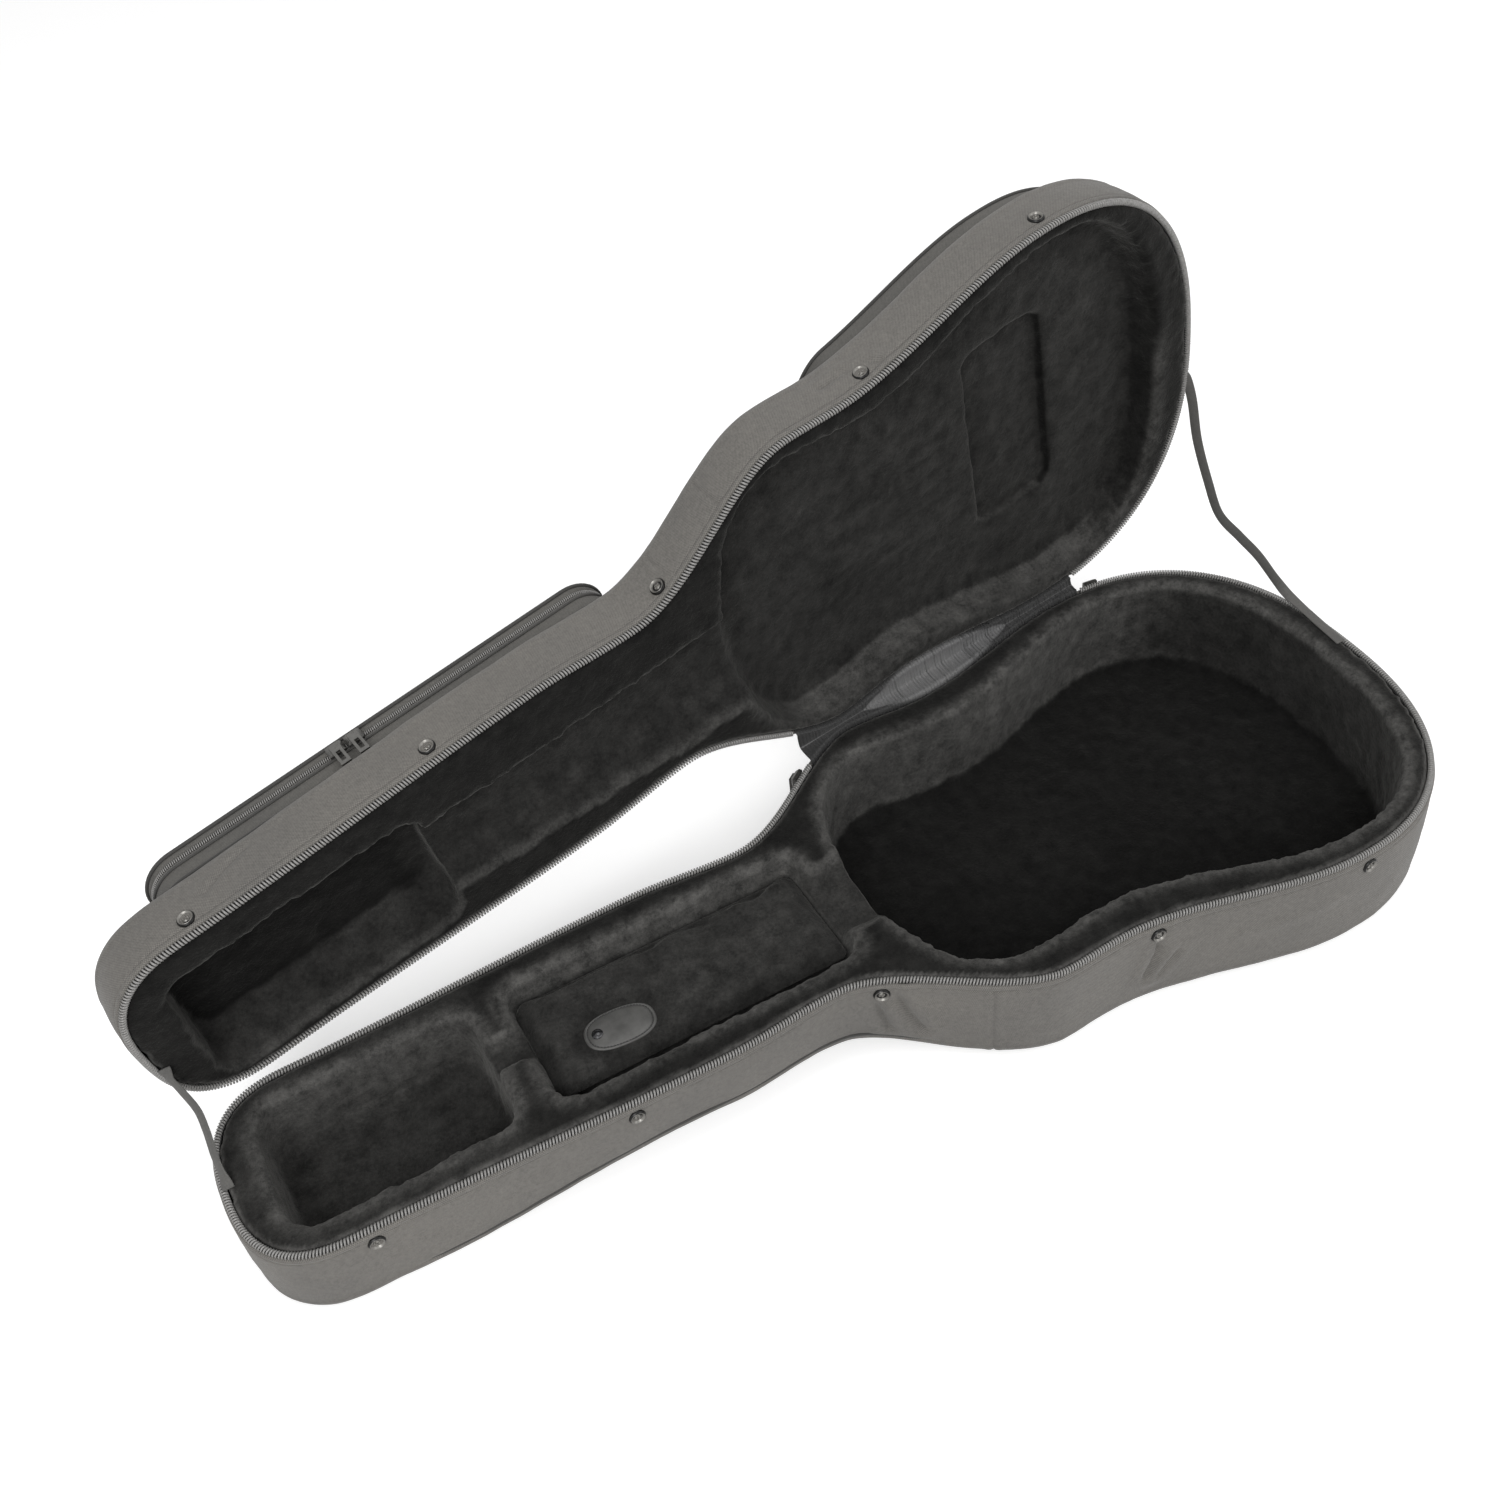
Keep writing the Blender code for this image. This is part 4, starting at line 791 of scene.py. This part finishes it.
def painted_light_of(half, co, no):
    """Painted light and shade in the pile's colour: painted highlights on the lips, walls painted lighter where
    they face the tail, painted shade on the floors, and random mottling.
    """
    s = half.sign
    depth, facing = s * co[:, 2], -s * no[:, 2]
    x, y = co[:, 0], co[:, 1]
    top = ease((0.0100 - depth) / 0.006)
    lip = top * ease((0.975 - facing) / 0.14)
    wall = ease((0.75 - facing) / 0.35)
    # Painted shade on the walls that face the head, near the tail end.
    to_head = ease(-no[:, 0] / 0.8) * ease((x - 0.90) / 0.06)
    if half.name == "base":
        # Painted shade on the floors, darkest in the body well; painted light on the walls and lips.
        floor = 1.0 - 0.76 * ease((x - 0.540) / 0.03)
        wall_light = (1.95 - 0.35 * ease((depth - 0.015) / 0.045)) * (1 - 0.55 * to_head)
        rim = 0.80 - 0.40 * ease((x - 0.20) / 0.05)
        lip_light = np.full(len(co), 2.5)
    else:
        floor = 0.68 - 0.50 * ease((0.265 - x) / 0.03)
        up_wall, down_wall = ease(-no[:, 1] / 0.8), ease(no[:, 1] / 0.8)
        low, across = ease((depth - 0.030) / 0.004), ease((0.104 - abs(y)) / 0.006)
        # Painted shade in the bridge recess, and deeper painted shadow in the groove at its tail end.
        bridge = low * across * ease((x - 0.835) / 0.006)
        groove = low * across * within(x, 0.917, 0.945, 0.006)
        wall_light = 1.15 * (1 - 0.70 * to_head) * (1 + 0.3 * down_wall)
        wall_light = wall_light * (1 + up_wall * (1.1 * ease((x - 0.58) / 0.04) - 0.30))
        wall_light = wall_light * (1 - 0.4 * bridge) * (1 - 0.75 * groove)
        rim = 0.30
        # Painted highlight on the lips, weaker on the zip's side.
        lip_light = 1.5 - 1.2 * ease(-y / 0.02)
    painted_light_and_tone = floor + (wall_light - floor) * wall
    painted_light_and_tone = painted_light_and_tone + (rim - painted_light_and_tone) * top * (1 - lip)
    patch = fractal(co, 0.055, 11.0, 3) * 0.24 + fractal(co, 0.014, 13.0, 2) * 0.20
    if half.name == "lid":
        # Painted light on the padded slope on the hinge's side of the neck.
        slope = ease((0.93 - facing) / 0.15) * ease((y - 0.008) / 0.006) * ease((0.575 - x) / 0.01)
        painted_light_and_tone = painted_light_and_tone + (0.78 - painted_light_and_tone) * slope * ease(depth / 0.003)
        patch = patch + 0.45 * pressed(co)
    # Painted highlight along the edges of the wells, made uneven.
    painted_edge_highlight = near_edge(half, co, 0.0070) * ease((0.009 - depth) / 0.004)
    painted_edge_highlight = painted_edge_highlight * (0.75 + 0.6 * fractal(co, 0.006, 17.0, 2))
    painted_light_and_tone = painted_light_and_tone + (lip_light - painted_light_and_tone) * np.clip(np.maximum(lip, painted_edge_highlight), 0, 1)
    return np.clip(painted_light_and_tone * (1 + patch), 0.12, 2.6)


def lining(half):
    s = half.sign
    points = loop(case_half, 0, LENGTH, 216)
    depth = half.depth(points[:, 0])
    profile = ((0.0056, SPLIT), (0.0056, 0.012), (0.0032, 0.016), (0.0032, depth - 0.016), (0.008, depth - 0.007),
               (0.016, depth - 0.004))
    block = solid(f"{half.name}_plush", [level(inset(points, i), s * z) for i, z in profile])
    cut(block, lining_cutters(half))
    remesh(block, 0.0030, 8)
    co, no = read_mesh(block)
    rim = case_half(np.clip(co[:, 0], 0, LENGTH)) - abs(co[:, 1])
    inside = ease((rim - 0.006) / 0.012)
    hidden = s * co[:, 2] > half.depth(co[:, 0]) - 0.010
    swell = fractal(co, 0.040, 2.0) * 0.0014 + fractal(co, 0.010, 5.0, 2) * 0.0008
    lip = ease((0.011 - s * co[:, 2]) / 0.006) * ease((0.99 + s * no[:, 2]) / 0.10)
    swell += puckers(half, co) + lip * fractal(co, 0.0075, 9.0, 2) * 0.0016
    co += no * (swell * inside * ~hidden)[:, None]
    co[:, 2] = s * np.maximum(s * co[:, 2], 0.0004)
    write_mesh(block, co)
    co, no = read_mesh(block)
    # Painted light and shade, with random mottling, go into the pile's colour.
    set_painted_light(block, painted_light_of(half, co, no))
    block.data.transform(half.matrix)
    block.name = f"{half.name}_plush_shell"
    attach(block, half.name)
    nodes = [f"{half.name}_plush_lining", f"{half.name}_foam_shell"]
    if half.name == "base":
        nodes += ["neck_rest_block", "heel_cradle"]
    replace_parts(block, *nodes)
    return block


def puckers(half, co):
    """Swellings and folds that the photograph shows in the plush."""
    out = np.zeros(len(co))
    x, y = co[:, 0], co[:, 1]
    if half.name == "lid":
        roll = np.exp(-((y - 0.060) / 0.020) ** 2) * ease((x - 0.06) / 0.03) * ease((0.57 - x) / 0.05)
        gather = 0.5 + 0.5 * np.cos((x + 0.3 * y) * 2 * math.pi / 0.085)
        out += roll * (0.0030 + 0.0022 * fractal(co, 0.045, 21.0, 2) - 0.0030 * gather ** 6)
        out += pressed(co) * 0.0012
    else:
        rest = ease((0.030 - abs(x - 0.238)) / 0.012) * ease((abs(y) - 0.018) / 0.008)
        out += rest * 0.0012 * (co[:, 2] > -0.008)
    return out


def inflate(obj, pressure, most, keep):
    """A short cloth simulation under pressure; vertices move at most that far, scaled by keep."""
    before = read_mesh(obj)[0]
    step = obj.modifiers.new("air", "CLOTH")
    step.settings.use_pressure = True
    step.settings.uniform_pressure_force = pressure
    step.settings.effector_weights.gravity = 0
    step.collision_settings.use_collision = False
    for frame_number in range(1, 21):
        bpy.context.scene.frame_set(frame_number)
    apply_all(obj)
    bpy.context.scene.frame_set(1)
    after = read_mesh(obj)[0]
    move = after - before
    size = np.linalg.norm(move, axis=1)
    move *= (np.minimum(1, most / np.maximum(size, 1e-9)) * keep)[:, None]
    write_mesh(obj, before + move)


def clear_of_tab(co):
    """1 on the pad away from the pull tab and 0 under it."""
    return 1 - ease((0.036 - np.hypot((co[:, 0] - 0.320) / 1.4, co[:, 1] + 0.017)) / 0.012)


def pad_compartment():
    """The puffed, wrinkled plush lid of the accessory compartment."""
    half_width = 0.0515
    points = box_loop(0.2515, 0.5145, half_width, 0.009, 120) - (0, 0.0005)
    section = ((0.001, -0.0192), (0.0, -0.0175), (0.0, -0.0140), (0.003, -0.0118), (0.008, -0.0108))
    pad = remesh(solid("compartment_pad", [level(inset(points, i), z) for i, z in section]), 0.0042, 3)
    co = read_mesh(pad)[0]
    clear = clear_of_tab(co)
    co[:, 2] += ease((co[:, 2] + 0.0165) / 0.004) * fractal(co, 0.030, 1.0, 2) * 0.0020 * clear
    write_mesh(pad, co)
    up = ease((co[:, 2] + 0.0175) / 0.004)
    inflate(pad, 4.0, 0.0050, up * (0.25 + 0.75 * clear))
    step = pad.modifiers.new("finer", "SUBSURF")
    step.levels = step.render_levels = 1
    apply_all(pad)
    pad.data.shade_smooth()
    co = read_mesh(pad)[0]
    edge = ease((half_width - abs(co[:, 1])) / 0.012) * within(co[:, 0], 0.253, 0.514, 0.012)
    up = ease((co[:, 2] + 0.0165) / 0.004)
    folds = fractal(co, 0.022, 4.0, 2) * 0.0020 + fractal(co, 0.010, 6.0, 2) * 0.0010
    co[:, 2] += up * edge * folds * clear_of_tab(co)
    co[:, 2] = np.minimum(co[:, 2], -0.0022)
    write_mesh(pad, co)
    co, no = read_mesh(pad)
    # Painted light and shade: the pad is painted darker low down and lighter high up and on its sloping faces,
    # with random mottling.
    painted_light_and_tone = 0.55 + 0.45 * ease((co[:, 2] + 0.012) / 0.006) + 0.5 * ease((0.8 - no[:, 2]) / 0.4)
    set_painted_light(pad, np.clip(painted_light_and_tone * (1 + 0.30 * fractal(co, 0.022, 31.0, 3)), 0.15, 2.0))
    pad.data.transform(BASE)
    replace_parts(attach(pad, "compartment_lid"), "compartment_lid")
    return pad


def leather_tab():
    """The oval pull tab with its sewn edge, and the snap on it."""
    turn, count, z = math.radians(-5), 96, -0.0109
    centre = np.array((0.3205, -0.0172))
    axis, side = np.array((math.cos(turn), math.sin(turn))), np.array((-math.sin(turn), math.cos(turn)))
    angles = 2 * math.pi * np.arange(count) / count
    wave = [np.sign(w) * abs(w) ** 0.80 for w in (np.cos(angles), np.sin(angles))]
    rows = ((1.0, 0.0), (1.0, 0.0012), (0.985, 0.0020), (0.955, 0.0024), (0.915, 0.0024), (0.895, 0.0020),
            (0.875, 0.0024), (0.8, 0.0029), (0.6, 0.0036), (0.35, 0.0040))

    def place_of(share, rise):
        flat = centre + (np.outer(wave[0], axis) * 0.0298 + np.outer(wave[1], side) * 0.0182) * share
        return level(flat, z + rise)
    verts = np.concatenate([place_of(share, rise) for share, rise in rows])
    faces = grid_faces(len(rows), count, True)
    faces += [tuple(reversed(range(count))), tuple(range(9 * count, 10 * count))]
    tab = mesh_object("leather_tab", verts, faces, LEATHER, BASE)
    tab.data.set_sharp_from_angle(angle=math.radians(50))
    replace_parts(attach(tab, "pull_tab"), "pull_tab")
    seam = closed(place_of(0.895, 0.0024))
    run = length_along(seam)
    goal = np.arange(0, run[-1] - 0.001, 0.0026)
    spots = at(goal, run, seam)
    ahead = at(goal + 0.0005, run, seam) - spots
    ahead /= np.linalg.norm(ahead, axis=1)[:, None]
    upward = np.tile(np.array([0.0, 0, 1]), (len(goal), 1))
    stitch = ((-0.0008, 0, 0), (-0.0004, 0, 0.0002), (0.0004, 0, 0.0002), (0.0008, 0, 0))
    verts, faces = scatter(*tube(stitch, 0.00028, 6)[:2], spots, (ahead, np.cross(upward, ahead), upward))
    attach(mesh_object("tab_stitches", verts, faces, THREAD, BASE), "pull_tab")
    spot = centre - axis * 0.019
    radii = ((0.0046, 0.0), (0.0047, 0.0006), (0.0043, 0.0010), (0.0039, 0.0008), (0.0035, 0.0011),
             (0.0026, 0.0018), (0.0014, 0.0021), (0.0005, 0.0022))
    verts = [(spot[0] + r * math.cos(a), spot[1] + r * math.sin(a), z + 0.0033 + h) for r, h in radii
             for a in angles[::3]]
    faces = grid_faces(len(radii), 32, True) + [tuple(range(7 * 32, 8 * 32)), tuple(reversed(range(32)))]
    snap = mesh_object("snap_stud", verts, faces, SNAP, BASE)
    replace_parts(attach(snap, "pull_tab"), "tab_snap")


# Pockets on the lid
def pocket(name, points, rows, across, swell):
    """A pocket's cloth over rings of (inset, height), closed by a front that swells out."""
    verts, faces = capped(np.concatenate([level(inset(points, i), z) for i, z in rows]), len(points), across)
    verts[:, 2] += swell(verts)
    down = np.cumsum([0] + [math.hypot(a[0] - b[0], a[1] - b[1]) for a, b in zip(rows, rows[1:])])
    uv = weave_map(points, down, verts[len(rows) * len(points):])
    return mesh_object(name, verts, [f[::-1] for f in faces], POCKET, LID, uv)


def pocket_cord(name, points, height, radius, out):
    verts, faces, uv = tube(level(inset(points[::2], -out), height), radius, 8, True)
    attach(mesh_object(name, verts, faces, CORD, LID, uv), "lid")


def neck_pocket():
    x0, x1, half, corner = 0.072, 0.492, 0.078, 0.030
    points = box_loop(x0, x1, half, corner, 520)
    foot, top = LID_DEPTH, LID_DEPTH + 0.036
    zip_low = top - 0.013
    rows = [(0.0, foot - 0.001), (-0.0004, foot + 0.004), (-0.0006, foot + 0.010), (0.0, zip_low - 0.0065),
            (0.0004, zip_low - 0.0010), (0.0020, zip_low), (0.0020, zip_low + 0.004), (0.0004, zip_low + 0.0050),
            (-0.0002, top - 0.0060), (0.0002, top - 0.0035), (0.0026, top - 0.0012), (0.0070, top - 0.0002),
            (0.0120, top)]

    def swell(co):
        crown = ease((half - abs(co[:, 1])) / 0.05) * within(co[:, 0], x0, x1, 0.06)
        return np.where(co[:, 2] > top - 0.0005, crown * 0.004, 0)
    made = pocket("neck_pocket_cloth", points, rows, 20, swell)
    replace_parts(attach(made, "lid"), "lid_neck_pocket_gusset", "lid_neck_pocket_panel")
    pocket_cord("neck_pocket_cord_base", points, foot + 0.0035, 0.0016, 0.0008)
    pocket_cord("neck_pocket_cord_low", points, zip_low - 0.0045, 0.0012, 0.0004)
    pocket_cord("neck_pocket_cord_top", points, top - 0.0030, 0.0017, 0.0006)
    coil_ring("neck_pocket_coil", points, zip_low + 0.002, 0.0019, 0.0017, "lid_neck_pocket_zip")


def coil_ring(name, points, height, half_width, pitch, replaced):
    """A closed zip coil round a pocket: two rows of teeth that meet in the middle."""
    run = length_along(closed(points))
    goal = np.arange(0, run[-1] - pitch / 2, pitch)
    w = half_width
    path = np.array([(-0.2, 0.0015, -w), (-0.15, 0.0004, -w * 0.7), (0, 0.0, 0), (0.15, 0.0004, w * 0.7),
                     (0.2, 0.0015, w)]) * (pitch, 1, 1)
    template, faces, _ = tube(path, pitch * 0.33, 5, up=(1, 0, 0))
    spots, normals = at(goal, run, closed(points)), at(goal, run, closed(inward(points)))
    verts, faces = teeth(template, faces, spots, normals, height, 1)
    coil = mesh_object(name, verts, [f[::-1] for f in faces], COIL, LID)
    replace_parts(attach(coil, "lid"), replaced)
    return coil


def body_pocket():
    start, end, margin = 0.684, LENGTH - 0.020, 0.020

    def half(x):
        tail = (LOWER_HALF - margin) * arc((x - LOWER_X) / (end - LOWER_X), 2.36)
        return arc((0.744 - x) / 0.060, 2.2) * np.where(x > LOWER_X, tail, case_half(x) - margin)
    points = loop(half, start, end, 560)
    foot, top = LID_DEPTH, LID_DEPTH + 0.034
    rows = [(0.0, foot - 0.001), (-0.0006, foot + 0.006), (-0.0010, foot + 0.014), (-0.0006, top - 0.011),
            (0.0, top - 0.0075), (0.0022, top - 0.0045), (0.0065, top - 0.0018), (0.0120, top - 0.0004)]

    def swell(co):
        inner = np.clip((half(np.clip(co[:, 0], start + 0.0001, end)) - abs(co[:, 1])) / 0.06, 0, 1)
        return np.where(co[:, 2] > top - 0.001, ease(inner) * within(co[:, 0], start, end, 0.06) * 0.005, 0)
    made = pocket("body_pocket_cloth", points, rows, 30, swell)
    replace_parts(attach(made, "lid"), "lid_body_pocket")
    pocket_cord("body_pocket_cord", points, top - 0.0072, 0.0017, 0.0003)


# Straps, hinge cloth and handle
def ribbon(name, path, across):
    """A flat woven strap along a path, with its width along across at each point."""
    path, across = np.asarray(path, float), np.asarray(across, float)
    fine = np.linspace(0, len(path) - 1, 12 * (len(path) - 1) + 1)
    path, across = smooth_rows(path, fine), smooth_rows(across, fine)
    across /= np.linalg.norm(across, axis=1)[:, None]
    along = np.gradient(path, axis=0)
    along /= np.linalg.norm(along, axis=1)[:, None]
    across -= along * np.sum(across * along, axis=1)[:, None]
    across /= np.linalg.norm(across, axis=1)[:, None]
    flat = np.cross(along, across)
    section = [(a * STRAP_WIDTH / 2, b * STRAP_THICK / 2) for a, b in (
        (-1, -0.5), (-0.9, -1), (0, -1), (0.9, -1), (1, -0.5), (1, 0.5), (0.9, 1), (0, 1), (-0.9, 1), (-1, 0.5))]
    count = len(section)
    verts = np.concatenate([[p + across[k] * a + flat[k] * b for a, b in section] for k, p in enumerate(path)])
    faces = grid_faces(len(path), count, True)
    faces += [tuple(reversed(range(count))), tuple(range(len(verts) - count, len(verts)))]
    uv = np.column_stack([np.repeat(length_along(path), count), np.tile([a for a, _ in section], len(path))])
    return mesh_object(name, verts, faces, WEB, BASE, uv)


def smooth_rows(table, fine):
    return np.column_stack([smooth_run(column, fine) for column in table.T])


def smooth_run(values, fine):
    """Values between evenly numbered places by a Catmull-Rom curve."""
    values = np.concatenate([[2 * values[0] - values[1]], values, [2 * values[-1] - values[-2]]])
    k = np.minimum(fine.astype(int), len(values) - 4)
    t = fine - k
    a, b, c, d = (values[k + i] for i in range(4))
    return 0.5 * (2 * b + (c - a) * t + (2 * a - 5 * b + 4 * c - d) * t ** 2 + (3 * b - a - 3 * c + d) * t ** 3)


def stays():
    """The two stay straps, seen nearly edge-on, from the base's rim to the lid's."""
    tail = [(1.0715, 0.003, -0.0006), (1.0720, 0.034, 0.0010), (1.0720, 0.057, 0.0030), (1.0705, 0.075, 0.0066),
            (1.070, 0.093, 0.0132), (1.070, 0.119, 0.0240), (1.070, 0.146, 0.0292), (1.070, 0.1775, 0.0365),
            (1.0678, 0.1967, 0.0664), (1.0639, 0.2134, 0.1054), (1.0593, 0.2214, 0.1467),
            (1.0509, 0.2240, 0.1743), (1.0474, 0.2270, 0.1763)]
    width = [(1, 0, 0)] * 3 + [(0.9, -0.4, 0.4)] + [(0.45, -0.60, 0.66)] * 7 + [(0.6, -0.5, 0.5)] * 2
    piece = ribbon("tail_stay_strap", tail, width)
    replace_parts(piece, "lid_stay_tail")
    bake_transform(piece)
    head = [(0.0070, 0.002, -0.0002), (0.0070, 0.014, 0.0058), (0.0072, 0.026, 0.0140), (0.009, 0.041, 0.0250),
            (0.009, 0.055, 0.0340), (0.0045, 0.0690, 0.0440), (0.0005, 0.0770, 0.0560), (0.0005, 0.0775, 0.0670)]
    piece = ribbon("head_stay_strap", head, [(1, 0, 0)] + [(0.6, -0.5, 0.6)] * 6 + [(1, 0, 0)])
    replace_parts(piece, "lid_stay_head")
    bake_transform(piece)


def hinge_web():
    """The ribbed web that joins the two rims between the zip's ends; its colour has painted shade from the plush
    towards both.
    """
    xs = np.linspace(ZIP_TAIL_X - 0.003, ZIP_HEAD_X + 0.003, 360)
    places = [wall_place(float(x), 1) for x in xs]
    walls, normals = np.array([p for p, _ in places]), np.array([n for _, n in places])
    low, rim = level(walls - normals * 0.0035, -0.012), level(walls - normals * 0.0022, -0.0016)
    line = np.column_stack([walls[:, 0], HINGE_Y0 + HINGE_SLOPE * walls[:, 0], np.full(len(xs), -0.0004)])
    swing = np.array(SWING)
    lid_low, lid_rim = ((p * (1, 1, -1)) @ swing[:3, :3].T + swing[:3, 3] for p in (low, rim))
    rows = np.array([low, rim, rim * 0.65 + line * 0.35, rim * 0.3 + line * 0.7,
                     line * 0.88 + rim * 0.06 + lid_rim * 0.06, lid_rim * 0.3 + line * 0.7,
                     lid_rim * 0.65 + line * 0.35, lid_rim, lid_low])
    count = 33
    fine = np.linspace(0, len(rows) - 1, count)
    smooth = np.stack([smooth_rows(rows[:, i], fine) for i in range(len(xs))], 1)
    ridge = 0.0002 * np.cos(xs * 2 * math.pi / 0.0036)
    smooth[:, :, 1:] += ridge[None, :, None] * (-1, 1)
    uv = np.column_stack([np.tile(length_along(walls), count), np.repeat(np.arange(count) * 0.0022, len(xs))])
    web = mesh_object("hinge_web_cloth", smooth.reshape(-1, 3), grid_faces(count, len(xs)), HINGE_WEB, BASE, uv)
    # Painted shade across the web towards both rims, over all of it near its ends.
    room = np.sqrt(np.maximum(0, 1 - ((xs - 0.7475) / 0.086) ** 2))
    reach = abs(np.linspace(-1, 1, count))[:, None] / np.maximum(0.9 * room, 0.02)[None, :]
    set_painted_light(web, (0.16 + 0.84 * ease((1.15 - reach) / 0.3)).ravel())
    step = web.modifiers.new("cloth", "SOLIDIFY")
    step.thickness, step.offset = 0.0010, 0
    apply_all(web)
    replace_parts(web, "base_hinge_cloth", "lid_hinge_cloth")
    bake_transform(web)


def rest_of_metal():
    """New materials for the sliders, pulls, anchors and handle, which stay as the CAD has them."""
    for finish, names in ((NICKEL, ("main_slider_head", "main_slider_tail", "pocket_slider_a", "pocket_slider_b",
                                    "main_pull_head", "main_pull_tail", "pocket_pull_a", "pocket_pull_b")),
                          (GRIP, ("handle_anchor_head", "handle_anchor_tail", "carry_handle"))):
        for name in names:
            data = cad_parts[name].data
            data.materials.clear()
            data.materials.append(finish)


def build():
    for half in HALVES:
        nylon_shell(half)
        piping(half)
        zip_parts(half)
        for number in range(5):
            washer(half, number)
        lining(half)
    pad_compartment()
    leather_tab()
    neck_pocket()
    body_pocket()
    stays()
    hinge_web()
    rest_of_metal()


# Camera, lights and floor
def camera():
    """The photograph's camera, fitted to the rim of the base: turn about z, height, roll, aim and distance."""
    az, el, roll = -0.4088, 0.7938, -0.1285
    target, distance = Vector((0.5492, 0.1846, 0)), 1.5103
    back = Vector((math.sin(az) * math.cos(el), -math.cos(az) * math.cos(el), math.sin(el)))
    right = (-back).cross(Vector((0, 0, 1))).normalized()
    up = right.cross(-back)
    image_right = right * math.cos(roll) + up * math.sin(roll)
    image_up = up * math.cos(roll) - right * math.sin(roll)
    turn = Matrix((image_right, image_up, back)).transposed().to_4x4()
    data = bpy.data.cameras.new("camera")
    data.lens, data.sensor_width, data.clip_end = 40.204, 36.0, 60.0
    made = in_scene("camera", data)
    made.matrix_world = BASE @ (Matrix.Translation(target + back * distance) @ turn)
    bpy.context.scene.camera = made


def lamp(name, place, aim, size, power):
    data = bpy.data.lights.new(name, "AREA")
    data.shape, data.size, data.energy = "DISK", size, power
    made = in_scene(name, data)
    made.location = place
    made.rotation_euler = (Vector(aim) - Vector(place)).to_track_quat("-Z", "Y").to_euler()


def studio():
    lamp("key", (-1.7, -2.1, 2.1), (0, 0.1, 0.1), 1.8, 62)
    lamp("fill", (2.0, -2.0, 1.6), (0, 0.1, 0.1), 2.0, 19)
    lamp("top", (0.2, 0.4, 3.0), (0, 0.1, 0), 2.2, 24)
    world = bpy.data.worlds.new("studio")
    bpy.context.scene.world = world
    world.use_nodes = True
    tree = world.node_tree
    background = tree.nodes["Background"]
    rays = node(tree, "ShaderNodeLightPath").outputs
    seen = math_node(tree, "ADD", rays["Is Camera Ray"],
                     math_node(tree, "ADD", rays["Is Glossy Ray"], rays["Is Transmission Ray"]), True)
    strength = math_node(tree, "ADD", math_node(tree, "MULTIPLY", seen, 0.55), 0.45)
    tree.links.new(strength, background.inputs["Strength"])
    background.inputs["Color"].default_value = (1, 1, 1, 1)
    verts = [(x, y, 0) for x in (-9, 9) for y in (-9, 9)]
    floor = mesh_object("floor", verts, [(0, 2, 3, 1)], floor_material(), Matrix.Translation((0, 0, -0.0008)))
    bpy.context.scene.view_settings.view_transform = "Standard"


def floor_material():
    made, tree, bsdf = shader("floor_paper", (0.86, 0.86, 0.86), 0.9)
    path = node(tree, "ShaderNodeLightPath")
    glow = node(tree, "ShaderNodeEmission", {"Color": (1, 1, 1, 1)})
    tree.links.new(math_node(tree, "MULTIPLY", path.outputs["Is Camera Ray"], 0.42), glow.inputs["Strength"])
    both = node(tree, "ShaderNodeAddShader", {0: bsdf.outputs[0], 1: glow.outputs[0]})
    tree.links.new(both.outputs[0], tree.nodes["Material Output"].inputs["Surface"])
    return made


build()
camera()
studio()
bpy.context.view_layer.update()
